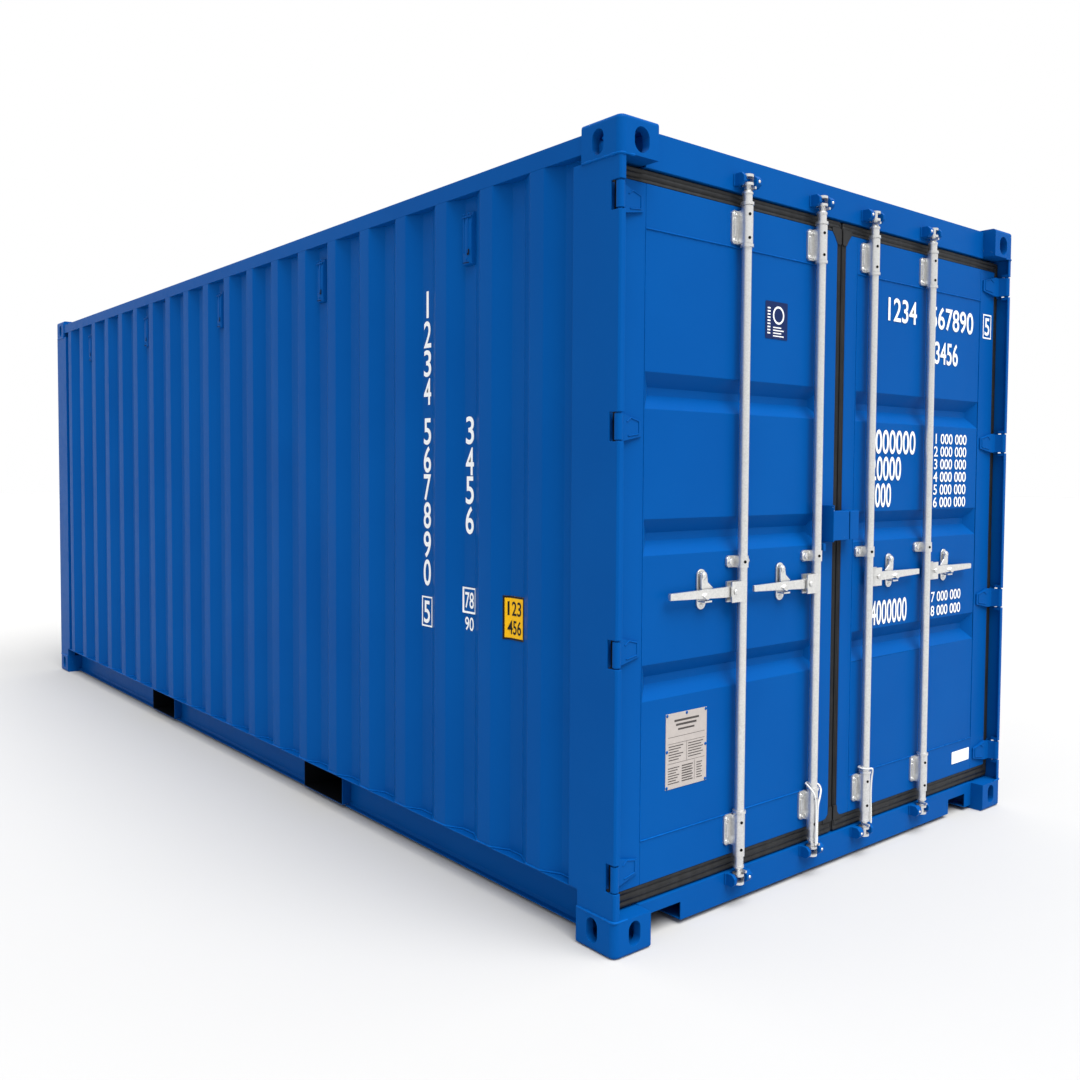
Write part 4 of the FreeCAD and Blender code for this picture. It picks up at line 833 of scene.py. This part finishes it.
def seal_heads(side):
    """The thicker rubber pieces at the head and the foot of a leaf's middle edge."""
    upper = [(1214, 2376), (1190, 2376), (1173, 2402), (1156, 2421), (1156, 2436), (1214, 2436)]
    lower = [(1214, 226), (1191, 226), (1188, 200), (1176, 186), (1156, 181), (1156, 168), (1214, 168)]
    heads = []
    for corners in (upper, lower):
        outline = rounded(corners, 6, 4)
        spots = place(outline[:, 0], 0, outline[:, 1], side)
        heads.append(bar_of(spots[:, [0, 2]], 0.058 - END, 0.063 - END, 1))
    return gathered(*heads)


def panel_seams(side):
    """Beads round the door's panel: one along its head and foot, a thinner one down each side."""
    near, far, foot, head, depth = 169, 1115, 325, 2281, [59.6, 59.6]
    seams = []
    for level in (head, foot):
        path = dense(place([near, far], depth, [level, level], side), 0.005)
        seams.append(weld(path, 0.0024, (0, 1, 0), seed=level))
    for across in (near, far):
        path = dense(place([across, across], depth, [foot, head], side), 0.005)
        seams.append(weld(path, 0.0016, (0, 1, 0), seed=across))
    return gathered(*seams)


def hinge_ridges(side):
    """A five-cornered ridge on each hinge blade, at the depth of the blade's stepped face."""
    ridges = []
    for level in HINGE_LEVELS:
        z = level * 1000
        house = [(80, z + 18), (99, z + 31), (139, z + 21), (139, z - 19), (86, z - 26)]
        ring = dense(house, 3.0)
        depth = np.interp(ring[:, 0], [43, 58, 152], [42, 44, 54]) - 0.4
        path = place(ring[:, 0], depth, ring[:, 1], side)
        ridges.append(carried(circle(0.0024, 8), path, (0, 1, 0)))
    return gathered(*ridges)


def slot_backs(side):
    """A plate behind each hinge slot of the post, so that the slot is not open to the inside."""
    back = place([10, 30, 30, 10], 0, [-45, -45, 45, 45], side)[:, [0, 2]]
    return gathered(*(bar_of(back + [0, level], 0.0570 - END, 0.0585 - END, 1) for level in HINGE_LEVELS))


class CONTAINER_OT_doors(bpy.types.Operator):
    """Rounds and paints both doors and makes their seals, seams, hinges and padlock cover"""

    bl_idname = "container.doors"
    bl_label = "Finish doors"

    def execute(self, context):
        edge = context.scene.container_paint.edge
        for side, name in ((-1, "left"), (1, "right")):
            body = name + "_door"
            for part in ("door_stiles", "door_rails"):
                soften(f"{name}_{part}", "gloss_blue", edge * 0.8)
            soften(name + "_door_panel", "gloss_blue", edge * 1.6, 3)
            soften(name + "_hinge_blades", "gloss_blue", edge * 0.7)
            soften(name + "_lock_box", "worn_blue", edge * 0.7)
            finish_mesh(name + "_seal", *seal_ring(side), "ribbed_rubber", body, 50, (name + "_door_seal",))
            finish_mesh(name + "_seal_heads", *seal_heads(side), "ribbed_rubber", body, 40, bevel=0.0015)
            finish_mesh(name + "_door_seams", *panel_seams(side), "bead_blue", body, 60)
            finish_mesh(name + "_hinge_ridges", *hinge_ridges(side), "gloss_blue", body, 60)
            finish_mesh(name + "_hinge_slot_backs", *slot_backs(side), "gloss_blue", "frame")
        tab = rounded(rectangle((-0.128, 1.223), (-0.112, 1.251)), 0.002, 3)
        finish_mesh("lock_box_tab", *bar_of(tab, 0.030 - END, 0.061 - END, 1), "gloss_blue", "left_door")
        return {"FINISHED"}


# The lowest and highest level of a bracket's wings, in millimetres, for the upper and the lower bracket.
WINGS = ((2291, 2403), (220, 322))
# Where the brackets' front faces are, the level of the middle bracket, and the levels of the sleeves' holes.
BRACKET_FRONT = 0.053 - END
MIDDLE_BRACKET = 1.208
SLEEVE_HOLES = (2.388, 2.309, 0.302, 0.206, MIDDLE_BRACKET)


def wing_fittings(x, low, high, radius):
    """The bolts and the raised ribs of a bracket's two wings beside the bar at x."""
    bolts, ribs = [], []
    for hand in (-1, 1):
        for level in ((low + 12) / 1000, (high - 12) / 1000):
            bolts.append(dome((x + hand * 0.038, BRACKET_FRONT, level), radius * 0.9, 0.004))
            bolts.append(bolt((x + hand * 0.030, BRACKET_FRONT, level - 0.003), radius * 0.55, 0.005))
        across = x + hand * 0.0375
        corners = rectangle((across - 0.0045, (low + 25) / 1000), (across + 0.0045, (high - 25) / 1000))
        ribs.append(bar_of(rounded(corners, 0.004, 4), 0.0478 - END, 0.0535 - END, 1))
    return bolts, ribs


def sleeve_hole(x, level):
    """A dark disc just proud of a sleeve, painted as the shade of a hole, turned by an angle about the axis of
    its bar.
    """
    points, faces = turned([(0.0055, 0.0), (0, 0.0)], (0, 0, 0), 1, 14)
    turn = Matrix.Rotation(math.radians(-24), 3, "Z")
    spots = (points.reshape(-1, 3) - [0, 0.0209, 0]) @ np.array(turn).T
    return spots + [x, BAR_DEPTH - END, level], faces


class CONTAINER_OT_lock_gear(bpy.types.Operator):
    """Rounds the galvanised lock gear and adds its bolts, bosses, ribs, and dark discs painted as the shade of
    holes
    """

    bl_idname = "container.lock_gear"
    bl_label = "Finish lock gear"

    def execute(self, context):
        radius = context.scene.container_gear.bolt
        for number in BARS:
            soften(f"lock_bar_{number}", "zinc_steel", 0.0014)
            soften(f"handle_{number}", "zinc_steel", 0.003, 3)
            soften(f"catch_{number}", "zinc_steel", 0.0015)
        for name in ("left", "right"):
            soften(name + "_bar_brackets", "zinc_steel", 0.0015)
            soften(name + "_catch_plates", "zinc_steel", 0.0015)
        for side, name, numbers in ((-1, "left", (1, 2)), (1, "right", (3, 4))):
            metal, ribs, dark = [], [], []
            for number in numbers:
                x = BARS[number]
                for low, high in WINGS:
                    bolts, rib_pair = wing_fittings(x, low, high, radius)
                    metal += bolts
                    ribs += rib_pair
                for hand in (-1, 1):
                    spot = (x + hand * 0.041, BRACKET_FRONT, MIDDLE_BRACKET)
                    metal.append(bolt(spot, radius * 1.5, 0.012))
                dark += [sleeve_hole(x, level) for level in SLEEVE_HOLES]
                centre = x + side * 0.182
                metal.append(dome((centre, 0.041 - END, 1.168), 0.011, 0.005))
                metal.append(dome((centre, 0.054 - END, 1.068), 0.008, 0.004))
            body = name + "_door"
            finish_mesh(name + "_bracket_bolts", *gathered(*metal), "zinc_steel", body, 40)
            finish_mesh(name + "_bracket_ribs", *gathered(*ribs), "zinc_steel", body, 40, bevel=0.0012)
            # dark discs: painted shade of the sleeves' holes
            finish_mesh(name + "_bracket_holes", *gathered(*dark), "hole_dark", body)
        studs = [dome((x + math.copysign(0.0405, -x), 0.0125 - END, level), 0.0055, 0.004)
                 for x in BARS.values() for level in (2.5045, 0.1005)]
        finish_mesh("keeper_studs", *gathered(*studs), "zinc_steel", "frame", 60)
        diamond = rounded([(-0.024, 0.0), (0, 0.013), (0.024, 0.0), (0, -0.013)], 0.012, 6)
        for number, x in BARS.items():
            outwards = math.copysign(1, x)
            pin = dome((x + outwards * 0.050, 0.0125 - END, HANDLE_LEVEL), 0.010, 0.004)
            finish_mesh(f"hub_pin_{number}", *pin, "zinc_steel", f"lock_bar_{number}", 60)
            eye = bar_of(diamond + [x + outwards * 0.190, HANDLE_LEVEL - 0.005], 0.017 - END, 0.025 - END, 1)
            finish_mesh(f"handle_eye_{number}", *eye, "zinc_steel", f"handle_{number}", 40, bevel=0.002)
        return {"FINISHED"}


# ---------------------------------------------------------------- ropes

# Points of each rope, in metres: right of its bar's axis, behind it, and height.
LEFT_ROPE = (
    (-0.013, -0.027, 0.127), (-0.013, -0.027, 0.160), (-0.012, -0.0265, 0.196), (-0.011, -0.026, 0.234),
    (-0.011, -0.0255, 0.274), (-0.016, -0.0245, 0.313), (-0.028, -0.018, 0.338), (-0.029, 0.001, 0.352),
    (-0.0145, 0.024, 0.353), (0.0135, 0.024, 0.352), (0.0285, 0.001, 0.351), (0.028, -0.018, 0.337),
    (0.014, -0.0255, 0.312), (-0.001, -0.0265, 0.283), (-0.003, -0.0265, 0.240), (-0.004, -0.0265, 0.200),
    (-0.0045, -0.027, 0.164), (-0.0045, -0.027, 0.131),
)
RIGHT_ROPE = (
    (0.026, -0.015, 0.128), (0.0265, -0.014, 0.160), (0.027, -0.0125, 0.194), (0.026, -0.012, 0.232),
    (0.0255, -0.0125, 0.272), (0.0265, -0.014, 0.310), (0.029, -0.017, 0.337), (0.0145, -0.0245, 0.353),
    (-0.013, -0.0245, 0.355), (-0.028, -0.001, 0.354), (-0.014, 0.024, 0.353), (0.0145, 0.024, 0.352),
    (0.030, 0.009, 0.339), (0.0275, -0.0015, 0.311), (0.0255, -0.004, 0.274), (0.026, -0.0045, 0.235),
    (0.027, -0.005, 0.198), (0.027, -0.006, 0.164), (0.0265, -0.0065, 0.132),
)
# The ropes' diameter.
ROPE = 0.007


def spline_line(name, spots):
    """The line of an open NURBS spline with the given control points, touching the first and last."""
    curve = bpy.data.curves.new(name, "CURVE")
    curve.dimensions = "3D"
    curve.resolution_u = 12
    spline = curve.splines.new("NURBS")
    spline.points.add(len(spots) - 1)
    for point, spot in zip(spline.points, spots):
        point.co = (*spot, 1)
    spline.order_u = 3
    spline.use_endpoint_u = True
    holder = bpy.data.objects.new(name, curve)
    bpy.context.scene.collection.objects.link(holder)
    bpy.context.view_layer.update()
    mesh = bpy.data.meshes.new_from_object(holder.evaluated_get(bpy.context.evaluated_depsgraph_get()))
    line = np.empty(len(mesh.vertices) * 3)
    mesh.vertices.foreach_get("co", line)
    bpy.data.objects.remove(holder)
    bpy.data.curves.remove(curve)
    bpy.data.meshes.remove(mesh)
    return line.reshape(-1, 3)


def twisted(line, out, radius, strands):
    """Strands twisted round a line: each one's middle is 0.46 of the radius out, once round in six radii.

    The strand's place is that much times cosine of its angle to the side and sine outwards, and the
    strands shrink over the last radius at each end, where the rope is melted together.
    """
    steps = np.concatenate([[0], np.cumsum(np.linalg.norm(np.diff(line, axis=0), axis=1))])
    ahead = np.gradient(line, axis=0)
    ahead /= np.linalg.norm(ahead, axis=1, keepdims=True)
    side = np.cross(ahead, out)
    side /= np.linalg.norm(side, axis=1, keepdims=True)
    out = np.cross(side, ahead)
    near_end = np.minimum(steps, steps[-1] - steps) / radius
    shrink = np.sqrt(np.clip(1 - (1 - np.clip(near_end, 0, 1)) ** 2, 0.04, 1))
    made = []
    for strand in range(strands):
        angle = (steps / (6 * radius) + strand / strands) * 2 * math.pi
        middle = side * np.cos(angle)[:, None] + out * np.sin(angle)[:, None]
        middle *= shrink[:, None] * radius * 0.46
        made.append(carried(circle(radius * 0.54, 9), line + middle, out, scale=shrink))
    return gathered(*made)


class CONTAINER_OT_ropes(bpy.types.Operator):
    """Makes the white rope tied round each inner lock bar above its lowest bracket"""

    bl_idname = "container.ropes"
    bl_label = "Make ropes"

    def execute(self, context):
        strands = context.scene.container_gear.strands
        for name, number, route in (("left", 2, LEFT_ROPE), ("right", 3, RIGHT_ROPE)):
            axis = np.array([BARS[number], BAR_DEPTH - END, 0])
            line = dense(spline_line(name + "_rope_route", (np.array(route) + axis).tolist()), 0.0015)
            out = (line - axis) * [1, 1, 0]
            rope = finish_mesh(name + "_tie_rope_strands", *twisted(line, out, ROPE / 2, strands),
                               "white_rope", name + "_door", 60, ("tie_rope_" + name,))
        return {"FINISHED"}


# ---------------------------------------------------------------- marks


def wall_depth(along):
    """How far in the side wall's outer face is at a distance along, straight between the wave's corners."""
    line, depth = wave_line()
    return WALL_INSET + WAVE_DEPTH * np.interp(along, line, depth)


def glyphs(text, height, narrow):
    """Flat letters as (points, faces) with x across and y up, scaled to the height and narrowed."""
    curve = bpy.data.curves.new("letters", "FONT")
    curve.body = text
    curve.size = 1.0
    curve.offset = 0.012
    holder = bpy.data.objects.new("letters", curve)
    bpy.context.scene.collection.objects.link(holder)
    bpy.context.view_layer.update()
    mesh = bpy.data.meshes.new_from_object(holder.evaluated_get(bpy.context.evaluated_depsgraph_get()))
    points = np.empty(len(mesh.vertices) * 3)
    mesh.vertices.foreach_get("co", points)
    points = points.reshape(-1, 3)[:, :2]
    faces = [list(face.vertices) for face in mesh.polygons]
    bpy.data.objects.remove(holder)
    bpy.data.curves.remove(curve)
    points -= points.min(0)
    points *= height / points[:, 1].max()
    points[:, 0] *= narrow
    return points, faces


def frame_strip(low, high, width):
    """A flat rectangular border: the outer outline joined to the same one moved in by its width."""
    outer = rectangle(low, high)
    inner = outer + width * np.array([(1, 1), (-1, 1), (-1, -1), (1, -1)])
    return np.concatenate([outer, inner]), [[k, (k + 1) % 4, 4 + (k + 1) % 4, 4 + k] for k in range(4)]


def line_mark(x, y, width, height):
    """A filled bar from its lower left corner, made as a border as wide as half the bar."""
    return frame_strip((x, y), (x + width, y + height), min(width, height) * 0.499)


def fitted(part, width):
    """The part scaled across so that it is exactly that wide."""
    points, faces = part
    points = points.copy()
    points[:, 0] *= width / max(points[:, 0].max(), 1e-9)
    return points, faces


def moved(part, x, y):
    """The flat part moved across and up."""
    return part[0] + [x, y], part[1]


def printed(text, left, bottom, height, width):
    """Figures of an exact height and width, from their lower left corner."""
    return moved(fitted(glyphs(text, height, NARROW), width), left, bottom)


def joined_flat(parts):
    """Flat parts joined into one, with each one's face numbers moved past the points before it."""
    starts = np.cumsum([0] + [len(points) for points, _ in parts[:-1]])
    faces = [[index + start for index in face] for (_, own), start in zip(parts, starts) for face in own]
    return np.concatenate([points for points, _ in parts]), faces


def on_door(part, depth):
    """Flat marks on a door: x is the row's X and y its Z, in millimetres, at a depth."""
    points, faces = part
    return np.insert(points / 1000, 1, depth / 1000 - END, axis=1), faces


def on_wall(part, middle, side, lift):
    """Flat marks on a side wall, following its wave: x runs towards the viewer's right."""
    points, faces = part
    along = middle + side * points[:, 0]
    return place(wall_depth(along) - lift, along, points[:, 1], side), faces


def strip(low, high, columns):
    """A flat strip cut into columns, so that it can follow the wall's wave."""
    (x0, y0), (x1, y1) = low, high
    sheet = np.stack(np.meshgrid(np.linspace(x0, x1, columns), [y0, y1]), -1).reshape(-1, 2)
    return sheet, grid_faces(2, columns).tolist()


def stacked(digits, tops):
    """Digits one below the other, each centred on the column and hung from its own level."""
    column = []
    for digit, top in zip(digits, tops):
        width = 15 if digit == "1" else 50
        column.append(printed(digit, -width / 2, top - 103, 102, width))
    return column


# How narrow the figures are against the font's own.
NARROW = 0.62
# How far behind the door-end plane a wall's columns of figures and its yellow plate are, in millimetres.
NUMBER_COLUMN, CODE_COLUMN, PLATE_COLUMN = 1104.5, 823.5, 552
# Left edge, lower edge, height and width of each row on the right door, in millimetres.
DOOR_ROWS = (
    ("1234", 321, 2124, 94, 210), ("567890", 640, 2124, 94, 350), ("3456", 678, 1977, 95, 187),
    ("1000000", 215, 1592, 96, 325), ("20000", 215, 1485, 96, 220), ("3000", 215, 1378, 96, 150),
    ("4000000", 237, 905, 98, 261),
    *((f"{11 + row} 000 000", 665, 1640 - 54 * row, 44, 290) for row in range(6)),
    ("17 000 000", 667, 965, 44, 265), ("18 000 000", 667, 905, 44, 265),
)


class CONTAINER_OT_marks(bpy.types.Operator):
    """Makes the plain numbers, the height plates, the blank label and the sticker"""

    bl_idname = "container.marks"
    bl_label = "Make marks"

    def execute(self, context):
        for side, name in ((-1, "left"), (1, "right")):
            self.mark_wall(side, name)
        marks = [printed(*row) for row in DOOR_ROWS]
        marks.append(printed("5", 1092, 2132, 78, 42))
        marks.append(frame_strip((1077, 2118), (1149, 2226), 6))
        finish_mesh("right_door_print", *on_door(joined_flat(marks), 58.9), "white_print", "right_door", 60)
        label = one_face(rounded(rectangle((888, 230), (1036, 284)), 4))
        finish_mesh("right_door_label", *on_door(label, 58.8), "white_print", "right_door")
        sticker = one_face(rounded(rectangle((-451, 1989), (-326, 2121)), 4))
        finish_mesh("left_door_sticker", *on_door(sticker, 59.6), "dark_blue_print", "left_door")
        ring = circle(1, 40)
        lines = [(np.concatenate([ring * 32, ring * 25]) + [-378, 2074],
                  grid_faces(2, 40, wrap_columns=True).tolist())]
        lines += [frame_strip((-440, 2006 + 11 * row), (-424, 2011 + 11 * row), 2.4) for row in range(9)]
        for row in range(4):
            right = -348 - 14 * (row % 2)
            lines.append(frame_strip((-408, 1998 + 10 * row), (right, 2002 + 10 * row), 1.9))
        lines = joined_flat(lines)
        finish_mesh("left_door_sticker_lines", *on_door(lines, 59.2), "white_print", "left_door")
        return {"FINISHED"}

    def mark_wall(self, side, name):
        """Puts the two columns of figures and the yellow plate on a side wall, by the doors."""
        column = stacked("1234567890", (2203, 2089, 1978, 1870, 1717, 1609, 1501, 1393, 1280, 1171))
        column.append(printed("5", -23, 921, 88, 42))
        column.append(frame_strip((-36, 908), (36, 1026), 6))
        marks = [on_wall(joined_flat(column), NUMBER_COLUMN, side, 1.4)]
        column = stacked("3456", (1714, 1601, 1495, 1385))
        column.append(frame_strip((-40, 990), (40, 1086), 7))
        column.append(printed("78", -27, 1008, 60, 54))
        column.append(printed("90", -27, 926, 50, 54))
        marks.append(on_wall(joined_flat(column), CODE_COLUMN, side, 1.4))
        finish_mesh(name + "_wall_numbers", *gathered(*marks), "white_print", "frame", 60)
        plate = on_wall(strip((-52, 925), (52, 1079), 27), PLATE_COLUMN, side, 1.6)
        finish_mesh(name + "_height_plate", *plate, "yellow_print", "frame", 60)
        border = [strip((-52, 925), (52, 932), 27), strip((-52, 1072), (52, 1079), 27)]
        border += [strip((left, 932), (left + 7, 1072), 2) for left in (-52, 45)]
        border += [printed("123", -35, 1010, 50, 70), printed("456", -35, 944, 50, 70)]
        border = on_wall(joined_flat(border), PLATE_COLUMN, side, 2.4)
        finish_mesh(name + "_height_print", *border, "black_print", "frame", 60)


class CONTAINER_OT_data_plate(bpy.types.Operator):
    """Makes the ruled metal plate on the left door, with its rivets and no words"""

    bl_idname = "container.data_plate"
    bl_label = "Make data plate"

    def execute(self, context):
        soften("data_plate", "satin_plate", 0.0004)
        low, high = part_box("data_plate")
        left, right, foot, top = (1000 * value for value in (low[0], high[0], low[2], high[2]))
        rules = [(40, 222, 120, 7), (48, 208, 100, 7), (58, 193, 80, 6), (10, 172, 180, 1.2),
                 (10, 150, 180, 1.2), (10, 84, 180, 1.2), (100, 84, 1.2, 66), (140, 14, 1.2, 66)]
        lines = [line_mark(left + x, foot + y, width, height) for x, y, width, height in rules]
        # Blocks of short lines: how many, level of the first, step down, start, end, how much shorter
        # each is within a cycle, the cycle's length, height, border.
        blocks = [
            (6, 140, 9, 14, 84, 11, 3, 3, 1.4), (6, 140, 9, 108, 182, 9, 2, 3, 1.4),
            (7, 68, 8.5, 12, 66, 8, 3, 3, 1.4), (7, 68, 8.5, 78, 132, 5, 2, 4, 1.8),
            (7, 68, 8.5, 150, 178, 6, 2, 3, 1.4),
        ]
        for count, level, step, start, end, shorter, cycle, height, border in blocks:
            for row in range(count):
                y = foot + level - step * row
                stop = left + end - shorter * (row % cycle)
                lines.append(frame_strip((left + start, y), (stop, y + height), border))
        depth = (low[1] + END) * 1000 - 0.3
        finish_mesh("data_plate_lines", *on_door(joined_flat(lines), depth), "plate_print", "left_door")
        centre, middle, inset = (left + right) / 2, (foot + top) / 2, 6
        spots = [(x, z) for x in (left + inset, right - inset) for z in (foot + inset, middle, top - inset)]
        spots.append((centre, top - inset))
        rivets = [dome((x / 1000, low[1], z / 1000), 0.0055, 0.0025) for x, z in spots]
        finish_mesh("data_plate_rivets", *gathered(*rivets), "gloss_blue", "left_door", 60)
        return {"FINISHED"}


# ---------------------------------------------------------------- stage


# The view's own right and ahead directions, its place in metres and its shifts as shares of the width.
VIEW_RIGHT = (0.76874, -0.63953, 0.00594)
VIEW_AHEAD = (0.63919, 0.76796, -0.04095)
VIEW_PLACE = (-3.40098, -5.30620, 1.51614)
VIEW_SHIFT = (-0.00467, -0.0247)


def soft_sky(strength):
    """A world that is white but behind the view, where it is grey low down and brighter high up.

    How far behind a direction is: minus 0.70 times its X minus 0.60 times its Y.
    """
    world = bpy.data.worlds.new("soft_sky")
    world.use_nodes = True
    tree = world.node_tree
    background = tree.nodes["Background"]
    background.inputs["Strength"].default_value = strength
    where = node(tree, "ShaderNodeSeparateXYZ")
    tree.links.new(node(tree, "ShaderNodeTexCoord").outputs["Object"], where.inputs[0])
    near = math_node(tree, "ADD", math_node(tree, "MULTIPLY", where.outputs["X"], -0.70),
                     math_node(tree, "MULTIPLY", where.outputs["Y"], -0.60))
    raised = ramp(tree, where.outputs["Z"], 0.10, 0.75)
    rear = mix_colour(tree, raised, (0.56, 0.57, 0.59, 1), (1.15, 1.15, 1.13, 1))
    sky = mix_colour(tree, ramp(tree, near, -0.05, 0.6), (1, 1, 1, 1), rear)
    tree.links.new(sky, background.inputs["Color"])
    return world


def fixed_view(lens):
    """The camera: the columns of its matrix are its right, its up, minus its ahead, and its place."""
    view = bpy.data.cameras.new("view")
    view.lens = lens
    view.sensor_width = 36
    view.shift_x, view.shift_y = VIEW_SHIFT
    view.clip_end = 200
    camera = bpy.data.objects.new("view", view)
    right, ahead = Vector(VIEW_RIGHT).normalized(), Vector(VIEW_AHEAD).normalized()
    up = right.cross(ahead).normalized()
    rows = zip(right, up, -ahead, VIEW_PLACE)
    camera.matrix_world = Matrix((*rows, (0, 0, 0, 1)))
    return camera


class CONTAINER_OT_stage(bpy.types.Operator):
    """Lays the pale floor and sets the soft lights and the camera"""

    bl_idname = "container.stage"
    bl_label = "Set the stage"

    def execute(self, context):
        scene, stage = context.scene, context.scene.container_stage
        scene.view_settings.view_transform = "Standard"
        scene.view_settings.look = "None"
        made, tree, shader, where = plain_material("floor_pale", 0.9)
        duller = tuple(channel * 0.97 for channel in stage.floor[:3]) + (1,)
        tint = mix_colour(tree, noise(tree, where, 0.6, 3), tuple(stage.floor), duller)
        tree.links.new(tint, shader.inputs["Base Color"])
        reach = 60.0
        corners = [(x, y, 0) for x, y in rectangle((-reach, -reach), (reach, reach))]
        mesh = bpy.data.meshes.new("pale_floor")
        mesh.from_pydata(corners, [], [[0, 1, 2, 3]])
        floor = bpy.data.objects.new("pale_floor", mesh)
        scene.collection.objects.link(floor)
        mesh.materials.append(made)
        scene.world = soft_sky(stage.sky)
        lamp = bpy.data.lights.new("overhead_light", "SUN")
        lamp.energy = stage.overhead
        lamp.angle = math.radians(48)
        lamp.color = (1, 0.99, 0.97)
        holder = bpy.data.objects.new("overhead_light", lamp)
        holder.location = (0.8, -6, 8)
        holder.rotation_euler = Vector((-0.02, -0.46, 0.89)).to_track_quat("Z", "Y").to_euler()
        scene.collection.objects.link(holder)
        camera = fixed_view(stage.lens)
        scene.collection.objects.link(camera)
        scene.camera = camera
        return {"FINISHED"}


class CONTAINER_PT_panel(bpy.types.Panel):
    """Sizes, colours and steps of the container"""

    bl_idname = "CONTAINER_PT_panel"
    bl_label = "Container"
    bl_space_type = "VIEW_3D"
    bl_region_type = "UI"
    bl_category = "Container"

    def draw(self, context):
        scene = context.scene
        for settings in (scene.container_paint, scene.container_gear, scene.container_stage):
            for name in settings.__annotations__:
                self.layout.prop(settings, name)
        for step in STEPS:
            self.layout.operator(step.bl_idname)


STEPS = (
    CONTAINER_OT_finishes, CONTAINER_OT_stage, CONTAINER_OT_ropes, CONTAINER_OT_walls, CONTAINER_OT_steelwork,
    CONTAINER_OT_ventilators, CONTAINER_OT_doors, CONTAINER_OT_lock_gear, CONTAINER_OT_marks,
    CONTAINER_OT_data_plate,
)
CLASSES = (PaintSettings, GearSettings, StageSettings, *STEPS, CONTAINER_PT_panel)


def register():
    """Registers the classes and puts the settings on the scene."""
    for kind in CLASSES:
        bpy.utils.register_class(kind)
    bpy.types.Scene.container_paint = PointerProperty(type=PaintSettings)
    bpy.types.Scene.container_gear = PointerProperty(type=GearSettings)
    bpy.types.Scene.container_stage = PointerProperty(type=StageSettings)


def unregister():
    """Takes the settings and the classes away again."""
    del bpy.types.Scene.container_stage
    del bpy.types.Scene.container_gear
    del bpy.types.Scene.container_paint
    for kind in reversed(CLASSES):
        bpy.utils.unregister_class(kind)


def main():
    """Runs every step in order."""
    register()
    for step in STEPS:
        group, name = step.bl_idname.split(".")
        getattr(getattr(bpy.ops, group), name)()


if __name__ == "__main__":
    main()
